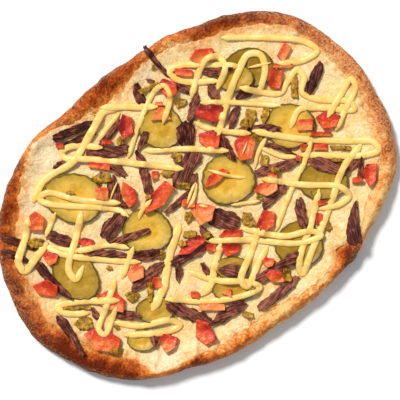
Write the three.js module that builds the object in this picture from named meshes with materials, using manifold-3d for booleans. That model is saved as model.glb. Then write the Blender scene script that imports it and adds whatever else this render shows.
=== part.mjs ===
// A roman pizza: an oval flatbread with a puffed, browned rim, melted cheese inside
// it, and gherkin slices, beef strips, tomato pieces and chopped pickle on top, with
// mustard drawn over them in strokes. Millimetres. +X runs along the oval towards the
// picture's upper right, +Z is up, and the underside lies flat on Z 0.

import * as THREE from 'three';
import { mergeVertices } from 'three/addons/utils/BufferGeometryUtils.js';
import { ImprovedNoise } from 'three/addons/math/ImprovedNoise.js';
import Module from 'manifold-3d';

const wasm = await Module();
wasm.setup();

// Picture readings, in pixels from its upper left corner, become millimetres on the
// pizza. The middle is the pixel over the origin.
const MM_PER_PIXEL = 0.68;
const LONG_AXIS_TURN = THREE.MathUtils.degToRad(36.4);
const MIDDLE = { column: 194.65, row: 198.64 };

// Heights and thicknesses
const RIM_HEIGHT = 16.5;
const RIM_SWELL = 2.6;
const RIM_LUMP = 1.2;
const FLOOR_HEIGHT = 8;
const CHEESE_LEVEL = 10.8;
const CHEESE_EDGE = 0.9;
const CHEESE_ROOT = 2;
const GHERKIN_THICK = 3.6;
const BEEF_THICK = 3.6;
const TOMATO_THICK = 4.8;
const HERB_THICK = 2.2;
const SMALL_TOMATO_THICK = 3.36;
const SMALL_BEEF_THICK = 2.88;
const SMALL_ROOT = 1;
const STROKE_HEIGHT = 1.9;
const STROKE_ROOT = 1.4;

// How far the top of a piece is drawn in from its side
const GHERKIN_EDGE = 1;
const CUT_EDGE = 1.2;
const SMALL_EDGE = 0.8;

// The width of a stroke's top as a share of its foot
const STROKE_CREST = 0.52;

// The narrowest bare rim that is still a full roll, how far its shoulder reaches past
// the bare part, and how far the slope to the floor reaches past that
const NARROWEST_RIM = 7;
const RIM_SHOULDER = 4;
const FLOOR_SLOPE = 7;

// Gaps and mesh steps
const GAP = 0.5;
const SOLID_STROKES = 12;
const CLEARANCE = 0.35;
const RIM_DIRECTIONS = 92;
const CHEESE_DIRECTIONS = 48;
const STROKE_STEP = 12;
const DRAPE_REACH = 4.5;
const SHORT_EDGE = 0.05;
const INSIDE_HOST = 0.25;
const SLICE_POINTS = 14;
const STRIP_STATION = 8;

// The edge of the bread, read off the picture, clockwise from its right side.
const BREAD_EDGE = [
  [398, 158], [390, 192], [373, 226], [352, 261], [317, 297], [272, 331], [225, 359],
  [196, 367], [164, 377], [129, 381], [94, 374], [61, 358], [31, 336], [12, 302],
  [0, 268], [-4, 236], [2, 198], [16, 165], [27, 148], [34, 136], [60, 116], [98, 80],
  [143, 50], [167, 35], [196, 25], [228, 14], [264, 10], [299, 17], [330, 36],
  [358, 61], [378, 94], [392, 126],
];

// How wide the bare rim is between the edge and the cheese, in mm, by its direction in
// the picture, in degrees anticlockwise from the right.
const BARE_RIM = [
  { direction: 0, width: 12 }, { direction: 20, width: 13 }, { direction: 45, width: 12 },
  { direction: 62, width: 10 }, { direction: 80, width: 12 }, { direction: 100, width: 9 },
  { direction: 112, width: 8 }, { direction: 125, width: 16 }, { direction: 140, width: 15 },
  { direction: 154, width: 6 }, { direction: 162, width: 2 }, { direction: 170, width: 7 },
  { direction: 185, width: 13 }, { direction: 212, width: 15 }, { direction: 235, width: 17 },
  { direction: 250, width: 14 }, { direction: 259, width: 3 }, { direction: 270, width: 8 },
  { direction: 285, width: 10 }, { direction: 305, width: 12 }, { direction: 325, width: 7 },
  { direction: 345, width: 6 },
];

// Gherkin slices: the middle in the picture, length and width in mm, and the turn of
// the length in degrees anticlockwise from the picture's right.
const GHERKINS = [
  { at: [74, 198], long: 42, wide: 34, turn: -15 },
  { at: [161, 128], long: 30, wide: 29, turn: 0 },
  { at: [249, 68], long: 35, wide: 27, turn: 0 },
  { at: [290, 126], long: 34, wide: 31, turn: 0 },
  { at: [228, 180], long: 37, wide: 34, turn: 0 },
  { at: [147, 231], long: 34, wide: 31, turn: 0 },
  { at: [76, 276], long: 37, wide: 29, turn: -50 },
  { at: [155, 310], long: 26, wide: 19, turn: 0 },
  { at: [142, 340], long: 20, wide: 15, turn: 0 },
  { at: [232, 268], long: 24, wide: 16, turn: 0 },
  { at: [234, 290], long: 31, wide: 15, turn: 0 },
  { at: [299, 244], long: 33, wide: 31, turn: 0 },
  { at: [323, 181], long: 34, wide: 26, turn: 0 },
  { at: [235, 78], long: 25, wide: 19, turn: 0 },
];

// Beef strips, lowest first: both ends in the picture and the width in mm. A taper is
// the width of the far end as a share of the near one.
const BEEF = [
  { from: [86, 153], to: [128, 149], wide: 8 },
  { from: [280, 129], to: [236, 131], wide: 6 },
  { from: [321, 62], to: [307, 93], wide: 7.5 },
  { from: [197, 94], to: [190, 121], wide: 7.5 },
  { from: [187, 122], to: [187, 150], wide: 13 },
  { from: [141, 163], to: [149, 194], wide: 6.5 },
  { from: [112, 176], to: [118, 202], wide: 8 },
  { from: [199, 152], to: [174, 186], wide: 11 },
  { from: [219, 133], to: [234, 160], wide: 7.5 },
  { from: [204, 216], to: [240, 222], wide: 13 },
  { from: [207, 246], to: [172, 264], wide: 7.5 },
  { from: [124, 214], to: [104, 238], wide: 11 },
  { from: [44, 233], to: [75, 244], wide: 7.5 },
  { from: [35, 261], to: [72, 299], wide: 8, taper: 0.5 },
  { from: [57, 315], to: [84, 355], wide: 8, taper: 0.35 },
  { from: [163, 263], to: [132, 291], wide: 8 },
  { from: [167, 303], to: [213, 322], wide: 9 },
  { from: [245, 302], to: [212, 324], wide: 8 },
  { from: [298, 276], to: [258, 309], wide: 7 },
  { from: [297, 253], to: [254, 281], wide: 8 },
  { from: [354, 244], to: [356, 200], wide: 12, taper: 0.25 },
  { from: [299, 198], to: [305, 232], wide: 7.5 },
  { from: [298, 161], to: [254, 173], wide: 7 },
  { from: [308, 161], to: [346, 170], wide: 9.5 },
];

// Tomato pieces: as the gherkins, with the number of corners.
const TOMATO = [
  { at: [126, 127], long: 16, wide: 10, turn: 80, corners: 5 },
  { at: [202, 56], long: 17, wide: 9, turn: 15, corners: 5 },
  { at: [168, 88], long: 13, wide: 12, turn: 0, corners: 5 },
  { at: [210, 113], long: 18, wide: 12, turn: 0, corners: 6 },
  { at: [275, 79], long: 14, wide: 12, turn: 80, corners: 4 },
  { at: [328, 120], long: 15, wide: 12, turn: -10, corners: 5 },
  { at: [210, 140], long: 15, wide: 12, turn: -10, corners: 6 },
  { at: [245, 147], long: 17, wide: 16, turn: 60, corners: 5 },
  { at: [370, 174], long: 15, wide: 10, turn: 80, corners: 5 },
  { at: [267, 188], long: 15, wide: 10, turn: 20, corners: 5 },
  { at: [266, 221], long: 15, wide: 12, turn: 80, corners: 5 },
  { at: [203, 213], long: 15, wide: 14, turn: 0, corners: 5 },
  { at: [192, 245], long: 19, wide: 9, turn: 32, corners: 5 },
  { at: [159, 197], long: 25, wide: 12, turn: 56, corners: 5 },
  { at: [129, 195], long: 16, wide: 10, turn: -70, corners: 5 },
  { at: [36, 222], long: 13, wide: 12, turn: 60, corners: 5 },
  { at: [112, 301], long: 19, wide: 13, turn: -20, corners: 5 },
  { at: [104, 340], long: 24, wide: 15, turn: -15, corners: 5 },
  { at: [168, 342], long: 12, wide: 12, turn: 0, corners: 5 },
  { at: [205, 332], long: 17, wide: 13, turn: -50, corners: 5 },
];

// Smaller pieces, fused to what they lie on.
const SMALL_TOMATO = [
  { at: [184, 73], long: 15, wide: 6, turn: -5, corners: 4 },
  { at: [162, 115], long: 15, wide: 14, turn: 30, corners: 3 },
  { at: [283, 66], long: 16, wide: 4, turn: 0, corners: 4 },
  { at: [284, 52], long: 12, wide: 9, turn: 60, corners: 4 },
  { at: [305, 125], long: 12, wide: 10, turn: 0, corners: 4 },
  { at: [216, 178], long: 18, wide: 7, turn: 40, corners: 5 },
  { at: [231, 236], long: 13, wide: 8, turn: 0, corners: 4 },
  { at: [230, 248], long: 13, wide: 6, turn: 0, corners: 4 },
  { at: [102, 194], long: 12, wide: 9, turn: 0, corners: 4 },
  { at: [99, 166], long: 18, wide: 5, turn: -8, corners: 4 },
  { at: [51, 258], long: 10, wide: 9, turn: 0, corners: 5 },
  { at: [47, 289], long: 16, wide: 12, turn: -20, corners: 5 },
  { at: [136, 273], long: 12, wide: 11, turn: 0, corners: 5 },
  { at: [213, 307], long: 19, wide: 7, turn: 0, corners: 4 },
  { at: [275, 276], long: 12, wide: 9, turn: 0, corners: 5 },
];
const SMALL_BEEF = [
  { from: [53, 140], to: [97, 122], wide: 6 },
  { from: [53, 168], to: [85, 158], wide: 5 },
  { from: [136, 84], to: [142, 104], wide: 7.5 },
  { from: [144, 46], to: [170, 78], wide: 4 },
  { from: [175, 84], to: [196, 93], wide: 6.5 },
  { from: [200, 72], to: [232, 70], wide: 6 },
  { from: [210, 84], to: [216, 104], wide: 8.5 },
  { from: [236, 98], to: [255, 88], wide: 7.5 },
  { from: [238, 106], to: [230, 130], wide: 6.5 },
  { from: [113, 165], to: [126, 176], wide: 8 },
  { from: [193, 172], to: [192, 193], wide: 8 },
  { from: [132, 257], to: [163, 253], wide: 7.5 },
  { from: [110, 243], to: [150, 230], wide: 5 },
  { from: [84, 253], to: [127, 256], wide: 5 },
  { from: [2, 238], to: [36, 250], wide: 5 },
  { from: [2, 251], to: [31, 263], wide: 5 },
  { from: [114, 316], to: [141, 316], wide: 7 },
  { from: [286, 185], to: [262, 208], wide: 6.5 },
  { from: [219, 270], to: [243, 269], wide: 9 },
];
const HERBS = [
  { at: [150, 88], long: 16, wide: 5, turn: 25, corners: 4 },
  { at: [102, 178], long: 12, wide: 8, turn: 0, corners: 5 },
  { at: [180, 103], long: 9, wide: 6, turn: 0, corners: 5 },
  { at: [184, 186], long: 10, wide: 5, turn: 0, corners: 4 },
  { at: [190, 234], long: 12, wide: 5, turn: 0, corners: 4 },
  { at: [248, 220], long: 11, wide: 9, turn: -50, corners: 5 },
  { at: [264, 160], long: 10, wide: 6, turn: 80, corners: 4 },
  { at: [250, 118], long: 12, wide: 9, turn: 90, corners: 5 },
  { at: [294, 86], long: 17, wide: 7, turn: 90, corners: 4 },
  { at: [341, 148], long: 17, wide: 4, turn: 0, corners: 4 },
  { at: [287, 275], long: 10, wide: 7, turn: 90, corners: 4 },
  { at: [84, 323], long: 12, wide: 10, turn: 0, corners: 5 },
  { at: [36, 243], long: 11, wide: 7, turn: 0, corners: 5 },
  { at: [132, 296], long: 9, wide: 7, turn: 0, corners: 5 },
  { at: [150, 292], long: 14, wide: 5, turn: 90, corners: 4 },
];

// Mustard strokes: the centre line in the picture and the width in mm.
const STROKES = [
  { wide: 4.2, line: [[221, 38], [265, 38], [305, 42], [317, 51], [305, 60], [278, 64]] },
  {
    wide: 4.4,
    line: [[240, 67], [210, 65], [180, 66], [169, 72], [180, 81], [219, 81]],
  },
  {
    wide: 4.2,
    line: [[191, 99], [198, 75], [207, 59], [218, 57], [225, 67], [217, 90]],
  },
  {
    wide: 4.6,
    line: [[218, 136], [225, 108], [237, 75], [248, 55], [260, 55], [265, 70], [258, 95]],
  },
  {
    wide: 4.4,
    line: [[239, 88], [280, 93], [286, 84], [297, 70], [304, 78], [302, 92], [315, 99],
      [350, 102], [354, 109], [315, 108], [299, 110], [290, 129]],
  },
  { wide: 3.8, line: [[200, 103], [240, 103], [281, 106]] },
  {
    wide: 4.2,
    line: [[327, 118], [340, 96], [351, 79], [355, 88], [345, 110], [335, 131]],
  },
  { wide: 4, line: [[194, 122], [210, 129], [251, 134]] },
  {
    wide: 4.6,
    line: [[252, 131], [300, 139], [345, 141], [373, 142], [378, 150], [365, 155], [299, 155]],
  },
  { wide: 3.4, line: [[267, 136], [257, 155], [255, 168]] },
  { wide: 3.4, line: [[260, 147], [280, 156], [297, 157]] },
  { wide: 4, line: [[311, 138], [306, 158], [290, 193], [275, 232]] },
  {
    wide: 4.6,
    line: [[362, 143], [342, 170], [331, 203], [312, 250], [302, 274], [299, 262],
      [312, 220], [319, 189]],
  },
  {
    wide: 4.2,
    line: [[261, 179], [305, 185], [340, 187], [349, 196], [340, 204], [318, 209]],
  },
  { wide: 2.4, line: [[208, 170], [230, 176], [246, 178]] },
  { wide: 3, line: [[231, 205], [260, 201]] },
  { wide: 4.2, line: [[144, 151], [185, 149], [229, 151]] },
  {
    wide: 4.4,
    line: [[103, 148], [75, 147], [64, 153], [72, 160], [110, 161], [184, 169]],
  },
  {
    wide: 5.2,
    line: [[33, 203], [43, 182], [55, 173], [72, 163], [93, 130], [104, 112], [120, 108]],
  },
  { wide: 4.8, line: [[100, 108], [125, 107], [158, 107]] },
  { wide: 3.6, line: [[99, 141], [105, 131], [120, 113]] },
  {
    wide: 3.8,
    line: [[128, 158], [141, 120], [155, 91], [164, 86], [170, 97], [163, 124]],
  },
  {
    wide: 4.2,
    line: [[121, 203], [80, 200], [47, 193], [40, 199], [50, 204], [118, 210], [129, 217]],
  },
  {
    wide: 5.2,
    line: [[29, 217], [25, 240], [19, 262], [25, 271], [36, 258], [48, 242]],
  },
  { wide: 3.4, line: [[56, 212], [52, 222], [45, 238]] },
  { wide: 4, line: [[46, 246], [75, 251], [110, 245], [130, 248]] },
  { wide: 4.2, line: [[46, 247], [62, 254], [105, 260], [141, 262]] },
  {
    wide: 4.6,
    line: [[82, 211], [77, 235], [69, 270], [76, 279], [84, 265]],
  },
  { wide: 4, line: [[134, 246], [127, 265], [122, 279]] },
  { wide: 4, line: [[116, 278], [106, 308], [99, 329], [105, 334], [117, 306]] },
  { wide: 4.6, line: [[120, 300], [75, 302], [57, 307], [65, 313], [90, 313]] },
  { wide: 6, line: [[180, 223], [170, 253], [163, 288], [152, 311]] },
  {
    wide: 4.4,
    line: [[114, 322], [140, 326], [170, 320], [180, 325], [170, 331], [124, 335]],
  },
  {
    wide: 4.2,
    line: [[165, 299], [210, 301], [245, 295], [260, 287], [248, 282], [215, 280],
      [188, 271]],
  },
  { wide: 5, line: [[221, 243], [215, 265], [211, 285], [201, 296]] },
  {
    wide: 4.2,
    line: [[207, 241], [250, 240], [300, 243], [321, 235], [310, 231], [285, 236],
      [240, 228]],
  },
  {
    wide: 4.6,
    line: [[259, 228], [252, 250], [241, 280], [247, 286], [259, 262], [268, 246]],
  },
  { wide: 2.6, line: [[197, 183], [193, 200], [188, 208]] },
  { wide: 3.2, line: [[152, 199], [141, 213], [139, 220]] },
];

// Colours, each with its roughness
const CRUST_FINISH = { color: 0xcf8747, roughness: 0.8 };
const CHEESE_FINISH = { color: 0xf3deb0, roughness: 0.45 };
const GHERKIN_FINISH = { color: 0xc2a02c, roughness: 0.35 };
const BEEF_FINISH = { color: 0x6b4140, roughness: 0.6 };
const TOMATO_FINISH = { color: 0xd24430, roughness: 0.3 };

const noise = new ImprovedNoise();

// A picture reading as a point on the pizza, in mm.
function onPizza([column, row]) {
  const across = column - MIDDLE.column;
  const up = MIDDLE.row - row;
  return new THREE.Vector2(across, up)
    .multiplyScalar(MM_PER_PIXEL)
    .rotateAround(new THREE.Vector2(), -LONG_AXIS_TURN);
}

// The direction in part axes, in radians, of a direction in the picture, in degrees.
function turned(degrees) {
  return THREE.MathUtils.degToRad(degrees) - LONG_AXIS_TURN;
}

// A smooth closed line round the bread, with its distance in each direction.
const edgeLine = new THREE.CatmullRomCurve3(
  BREAD_EDGE.map((reading) => {
    const point = onPizza(reading);
    return new THREE.Vector3(point.x, point.y, 0);
  }),
  true,
);
const edgePoints = edgeLine
  .getSpacedPoints(480)
  .map((point) => ({ angle: Math.atan2(point.y, point.x), reach: Math.hypot(point.x, point.y) }))
  .sort((a, b) => a.angle - b.angle);

// A value between the entries of a list sorted by angle, which closes on itself.
function around(list, angle, key) {
  const wrapped = Math.atan2(Math.sin(angle), Math.cos(angle));
  const found = list.findIndex((entry) => entry.angle > wrapped);
  const next = list[found < 0 ? 0 : found];
  const last = list[(found < 0 ? 0 : found) - 1] ?? list[list.length - 1];
  const span = (next.angle - last.angle + 2 * Math.PI) % (2 * Math.PI);
  const along = (wrapped - last.angle + 2 * Math.PI) % (2 * Math.PI);
  const eased = THREE.MathUtils.smoothstep(along / span, 0, 1);
  return THREE.MathUtils.lerp(last[key], next[key], eased);
}

const bareRim = BARE_RIM.map(({ direction, width }) => {
  const angle = turned(direction);
  return { angle: Math.atan2(Math.sin(angle), Math.cos(angle)), width };
}).sort((a, b) => a.angle - b.angle);

// A point at an inset from the bread's edge, in mm, in one direction.
function insetPoint(angle, inset, height) {
  const reach = around(edgePoints, angle, 'reach') - inset;
  return new THREE.Vector3(Math.cos(angle) * reach, Math.sin(angle) * reach, height);
}

// A closed ring of points, one for each direction.
function ring(directions, pointAt) {
  return Array.from({ length: directions }, (_, step) => pointAt((2 * Math.PI * step) / directions));
}

// The triangles that fill a ring: across from side to side, or cut for any outline.
function crossFill(outline) {
  const faces = [];
  for (let low = 0, high = outline.length - 1; low + 1 < high; low += 1, high -= 1) {
    faces.push([low, low + 1, high]);
    if (low + 1 < high - 1) {
      faces.push([low + 1, high - 1, high]);
    }
  }
  return faces;
}

function anyFill(outline) {
  return THREE.ShapeUtils.triangulateShape(outline, []);
}

// A closed skin through rings with the same number of points, lowest ring first, with
// both ends filled.
function loft(rings, fill = crossFill) {
  const count = rings[0].length;
  const last = (rings.length - 1) * count;
  const faces = [];
  for (const [a, b, c] of fill(rings[0])) {
    faces.push(a, c, b);
  }
  for (const [a, b, c] of fill(rings[rings.length - 1])) {
    faces.push(last + a, last + b, last + c);
  }
  for (let lower = 0; lower < last; lower += count) {
    for (let here = 0; here < count; here += 1) {
      const next = (here + 1) % count;
      faces.push(lower + here, lower + next, lower + count + next);
      faces.push(lower + here, lower + count + next, lower + count + here);
    }
  }
  const geometry = new THREE.BufferGeometry().setFromPoints(rings.flat());
  geometry.setIndex(faces);
  return geometry;
}

// The bread: rings from the flat underside round the outside, over the rim's crest and
// down to the floor.
function crustGeometry() {
  const profile = [
    { across: 0.3, level: 0 },
    { across: 0.07, level: 0.14 },
    { across: 0, level: 0.38 },
    { across: 0.08, level: 0.74 },
    { across: 0.34, level: 1 },
    { across: 0.66, level: 0.86 },
    { across: 1, level: 0.6 },
  ];
  const rimWidth = (angle) =>
    Math.max(around(bareRim, angle, 'width'), NARROWEST_RIM) + RIM_SHOULDER;
  const rimHeight = (angle) => {
    const x = Math.cos(angle) * 5;
    const y = Math.sin(angle) * 5;
    const lump = RIM_LUMP * noise.noise(3 * x, 3 * y, 4.5);
    return RIM_HEIGHT + RIM_SWELL * noise.noise(x, y, 0.5) + lump;
  };
  const rings = profile.map(({ across, level }) =>
    ring(RIM_DIRECTIONS, (angle) =>
      insetPoint(angle, across * rimWidth(angle), level * rimHeight(angle))));
  rings.push(ring(RIM_DIRECTIONS, (angle) =>
    insetPoint(angle, rimWidth(angle) + FLOOR_SLOPE, FLOOR_HEIGHT)));
  return loft(rings, anyFill);
}

// How high the surface reaches over each millimetre of the plan.
class HeightMap {
  constructor(geometries) {
    this.halfWidth = 160;
    this.halfDepth = 120;
    this.columns = 2 * this.halfWidth + 1;
    this.rows = 2 * this.halfDepth + 1;
    this.heights = new Float32Array(this.columns * this.rows).fill(-Infinity);
    geometries.forEach((geometry) => this.lay(geometry));
  }

  cell(x, y) {
    return (y + this.halfDepth) * this.columns + x + this.halfWidth;
  }

  lay(geometry) {
    const position = geometry.getAttribute('position');
    const faces = geometry.index.array;
    for (let face = 0; face < faces.length; face += 3) {
      const [a, b, c] = [0, 1, 2].map((side) =>
        new THREE.Vector3().fromBufferAttribute(position, faces[face + side]));
      this.layTriangle(a, b, c);
    }
  }

  layTriangle(a, b, c) {
    const area = (b.x - a.x) * (c.y - a.y) - (b.y - a.y) * (c.x - a.x);
    if (area < 1e-6) {
      return;
    }
    for (let y = Math.ceil(Math.min(a.y, b.y, c.y)); y <= Math.max(a.y, b.y, c.y); y += 1) {
      for (let x = Math.ceil(Math.min(a.x, b.x, c.x)); x <= Math.max(a.x, b.x, c.x); x += 1) {
        const shareC = ((b.x - a.x) * (y - a.y) - (b.y - a.y) * (x - a.x)) / area;
        const shareB = ((x - a.x) * (c.y - a.y) - (y - a.y) * (c.x - a.x)) / area;
        const shareA = 1 - shareB - shareC;
        if (Math.min(shareA, shareB, shareC) >= -1e-6) {
          const cell = this.cell(x, y);
          const height = shareA * a.z + shareB * b.z + shareC * c.z;
          this.heights[cell] = Math.max(this.heights[cell], height);
        }
      }
    }
  }

  // The highest point within a reach of (x, y), or -Infinity where nothing lies.
  near(x, y, reach) {
    let top = -Infinity;
    for (let row = Math.floor(y - reach); row <= Math.ceil(y + reach); row += 1) {
      for (let column = Math.floor(x - reach); column <= Math.ceil(x + reach); column += 1) {
        if (Math.hypot(column - x, row - y) <= Math.max(reach, 1)) {
          top = Math.max(top, this.heights[this.cell(column, row)]);
        }
      }
    }
    return top;
  }
}

// The cheese: a sheet over the floor that thins out up the inside of the rim. Its lower
// side is cut by the bread later.
function cheeseGeometry(crust) {
  const inward = [0, 5, 12];
  const rimEdge = (angle) => around(bareRim, angle, 'width');
  const bread = new HeightMap([crust]);
  const topRings = inward.map((distance) =>
    ring(CHEESE_DIRECTIONS, (angle) => {
      const point = insetPoint(angle, rimEdge(angle) + distance, 0);
      point.z = Math.max(bread.near(point.x, point.y, 1) + CHEESE_EDGE, CHEESE_LEVEL);
      return point;
    }));
  const lowRing = topRings[0].map((point) => point.clone().setZ(FLOOR_HEIGHT - CHEESE_ROOT));
  return loft([lowRing, ...topRings], anyFill);
}

// Outlines are closed rings of points, anticlockwise, in mm.
function roundOutline({ at, long, wide, turn }) {
  const middle = onPizza(at);
  return Array.from({ length: SLICE_POINTS }, (_, step) => {
    const angle = (2 * Math.PI * step) / SLICE_POINTS;
    const uneven = 1 + 0.03 * Math.sin(3 * angle + at[0]);
    return new THREE.Vector2(
      (long / 2) * uneven * Math.cos(angle),
      (wide / 2) * uneven * Math.sin(angle),
    ).rotateAround(new THREE.Vector2(), turned(turn)).add(middle);
  });
}

function corneredOutline({ at, long, wide, turn, corners }) {
  const middle = onPizza(at);
  return Array.from({ length: corners }, (_, corner) => {
    const angle = (2 * Math.PI * (corner + 0.5)) / corners;
    const uneven = 1.16 + 0.12 * Math.sin(2.4 * corner + at[0] + at[1]);
    return new THREE.Vector2(
      (long / 2) * uneven * Math.cos(angle),
      (wide / 2) * uneven * Math.sin(angle),
    ).rotateAround(new THREE.Vector2(), turned(turn)).add(middle);
  });
}

function stripOutline({ from, to, wide, taper = 0.9 }) {
  const start = onPizza(from);
  const end = onPizza(to);
  const length = start.distanceTo(end);
  const along = end.clone().sub(start).normalize();
  const side = new THREE.Vector2(-along.y, along.x);
  const stations = Math.max(3, Math.round(length / STRIP_STATION) + 1);
  const sidePoint = (station, hand) => {
    const share = station / (stations - 1);
    const bow = 0.05 * length * Math.sin(Math.PI * share) * Math.sin(from[0]);
    const torn = station === 0 || station === stations - 1 ? 0.62 : 1;
    const uneven = 1 + 0.12 * Math.sin(2.1 * station + hand + from[1]);
    const half = (wide / 2) * THREE.MathUtils.lerp(1, taper, share) * torn * uneven;
    return start.clone()
      .addScaledVector(along, share * length)
      .addScaledVector(side, bow + hand * half);
  };
  const rightSide = Array.from({ length: stations }, (_, station) => sidePoint(station, -1));
  const leftSide = Array.from({ length: stations }, (_, station) => sidePoint(station, 1));
  return [...rightSide, ...leftSide.reverse()];
}

// An outline moved outwards by a distance, or inwards where that is negative.
function spread(outline, distance) {
  return outline.map((point, index) => {
    const before = outline[(index + outline.length - 1) % outline.length];
    const after = outline[(index + 1) % outline.length];
    const inbound = point.clone().sub(before).normalize();
    const outbound = after.clone().sub(point).normalize();
    const outward = new THREE.Vector2(inbound.y + outbound.y, -inbound.x - outbound.x);
    return point.clone().addScaledVector(outward, distance / Math.max(outward.lengthSq() / 2, 0.5));
  });
}

// A piece of food with rounded edges, lying on what the rest function gives.
function slab(outline, thick, edge, rest) {
  const layers = [
    { inset: edge * 0.6, height: 0 },
    { inset: 0, height: thick * 0.45 },
    { inset: edge, height: thick },
  ];
  const lifts = outline.map((point) => rest(point.x, point.y));
  return loft(layers.map(({ inset, height }) =>
    spread(outline, -inset).map((point, index) =>
      new THREE.Vector3(point.x, point.y, lifts[index] + height))));
}

// A column of the outline, taller than the whole pizza.
function column(outline, distance) {
  return loft([-10, 60].map((height) =>
    spread(outline, distance).map((point) => new THREE.Vector3(point.x, point.y, height))));
}

// The same skin moved outwards along its normals.
function swollen(geometry, distance) {
  const skin = geometry.clone();
  skin.computeVertexNormals();
  const position = skin.getAttribute('position');
  const normal = skin.getAttribute('normal');
  const point = new THREE.Vector3();
  const outward = new THREE.Vector3();
  for (let index = 0; index < position.count; index += 1) {
    point.fromBufferAttribute(position, index);
    outward.fromBufferAttribute(normal, index);
    point.addScaledVector(outward, distance);
    position.setXYZ(index, point.x, point.y, point.z);
  }
  return skin;
}

// The centre line of a mustard stroke, flat at height 0.
function strokeCurve({ line }) {
  return new THREE.CatmullRomCurve3(line.map((reading) => {
    const point = onPizza(reading);
    return new THREE.Vector3(point.x, point.y, 0);
  }));
}

// One mustard stroke, from inside what it lies on up to its own height over the ceiling.
// Each ring's corners run from its root to its narrower top.
function strokeGeometry(stroke, floorAt, ceilingAt) {
  const curve = strokeCurve(stroke);
  const steps = Math.max(3, Math.round(curve.getLength() / STROKE_STEP));
  const rings = Array.from({ length: steps + 1 }, (_, step) => {
    const middle = curve.getPointAt(step / steps);
    const along = curve.getTangentAt(step / steps);
    const side = new THREE.Vector3(-along.y, along.x, 0).multiplyScalar(stroke.wide / 2);
    const floor = floorAt(middle.x, middle.y);
    const root = floor - STROKE_ROOT;
    const crest = Math.max(ceilingAt(middle.x, middle.y), floor) + STROKE_HEIGHT;
    const corners = [
      { share: -1, height: root },
      { share: 1, height: root },
      { share: STROKE_CREST, height: crest },
      { share: -STROKE_CREST, height: crest },
    ];
    return corners.map(({ share, height }) =>
      middle.clone().addScaledVector(side, share).setZ(height));
  });
  return loft(rings);
}

// The largest strokes are solid.
const solidStrokes = STROKES
  .map((stroke) => ({ stroke, cover: stroke.wide * strokeCurve(stroke).getLength() }))
  .sort((a, b) => b.cover - a.cover)
  .slice(0, SOLID_STROKES)
  .map(({ stroke }) => stroke);

// A closed mesh as a solid for cuts and joins, and back.
function toSolid(geometry) {
  const plain = geometry.clone();
  plain.deleteAttribute('normal');
  plain.deleteAttribute('uv');
  const merged = mergeVertices(plain, 1e-4);
  const triangles = [];
  for (let face = 0; face < merged.index.count; face += 3) {
    const [a, b, c] = [0, 1, 2].map((side) => merged.index.getX(face + side));
    if (a !== b && b !== c && c !== a) {
      triangles.push(a, b, c);
    }
  }
  return new wasm.Manifold(new wasm.Mesh({
    numProp: 3,
    vertProperties: Float32Array.from(merged.getAttribute('position').array),
    triVerts: Uint32Array.from(triangles),
  }));
}

function fromSolid(solid) {
  const { vertProperties, triVerts } = solid.getMesh();
  const geometry = new THREE.BufferGeometry();
  geometry.setAttribute('position', new THREE.BufferAttribute(vertProperties, 3));
  geometry.setIndex(Array.from(triVerts));
  return largestBody(geometry);
}

// The largest of the separate bodies in a mesh, without the crumbs that a cut leaves.
function largestBody(geometry) {
  const faces = geometry.index.array;
  const leader = Array.from({ length: geometry.getAttribute('position').count }, (_, index) => index);
  const leaderOf = (index) => {
    let top = index;
    while (leader[top] !== top) {
      leader[top] = leader[leader[top]];
      top = leader[top];
    }
    return top;
  };
  for (let face = 0; face < faces.length; face += 3) {
    leader[leaderOf(faces[face])] = leaderOf(faces[face + 1]);
    leader[leaderOf(faces[face + 1])] = leaderOf(faces[face + 2]);
  }
  const position = geometry.getAttribute('position');
  const volumes = new Map();
  for (let face = 0; face < faces.length; face += 3) {
    const [a, b, c] = [0, 1, 2].map((side) =>
      new THREE.Vector3().fromBufferAttribute(position, faces[face + side]));
    const body = leaderOf(faces[face]);
    volumes.set(body, (volumes.get(body) ?? 0) + a.dot(b.cross(c)));
  }
  const [largest] = [...volumes].sort((one, other) => other[1] - one[1])[0];
  const kept = [];
  for (let face = 0; face < faces.length; face += 3) {
    if (leaderOf(faces[face]) === largest) {
      kept.push(faces[face], faces[face + 1], faces[face + 2]);
    }
  }
  const body = geometry.clone();
  body.setIndex(closeShortEdges(kept, position));
  return mergeVertices(body.toNonIndexed(), 1e-5);
}

// The corners next to each corner of a list of faces.
function neighboursOf(faces) {
  const neighbours = new Map();
  for (let face = 0; face < faces.length; face += 3) {
    for (let side = 0; side < 3; side += 1) {
      const corner = faces[face + side];
      const near = neighbours.get(corner) ?? new Set();
      near.add(faces[face + ((side + 1) % 3)]);
      near.add(faces[face + ((side + 2) % 3)]);
      neighbours.set(corner, near);
    }
  }
  return neighbours;
}

// The faces without the very short edges that a cut leaves.
function closeShortEdges(faces, position) {
  const point = (index) => new THREE.Vector3().fromBufferAttribute(position, index);
  const neighbours = neighboursOf(faces);
  const touched = new Set();
  const replaced = new Map();
  for (const [corner, near] of neighbours) {
    const close = [...near].find((other) => {
      const shared = [...near].filter((third) => neighbours.get(other).has(third));
      return shared.length === 2 && point(corner).distanceTo(point(other)) < SHORT_EDGE;
    });
    if (close !== undefined && !touched.has(corner) && !touched.has(close)) {
      replaced.set(close, corner);
      [close, ...near, ...neighbours.get(close)].forEach((other) => touched.add(other));
    }
  }
  if (replaced.size === 0) {
    return faces;
  }
  const kept = [];
  for (let face = 0; face < faces.length; face += 3) {
    const [a, b, c] = [0, 1, 2].map((side) => replaced.get(faces[face + side]) ?? faces[face + side]);
    if (a !== b && b !== c && c !== a) {
      kept.push(a, b, c);
    }
  }
  return closeShortEdges(kept, position);
}

function boxOf(geometry) {
  geometry.computeBoundingBox();
  return geometry.boundingBox;
}

const crust = crustGeometry();
const cheese = cheeseGeometry(crust);

// The toppings are laid one by one, each on what is already there.
const surface = new HeightMap([crust, cheese]);
const rest = (x, y) => surface.near(x, y, DRAPE_REACH) + GAP;

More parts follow.
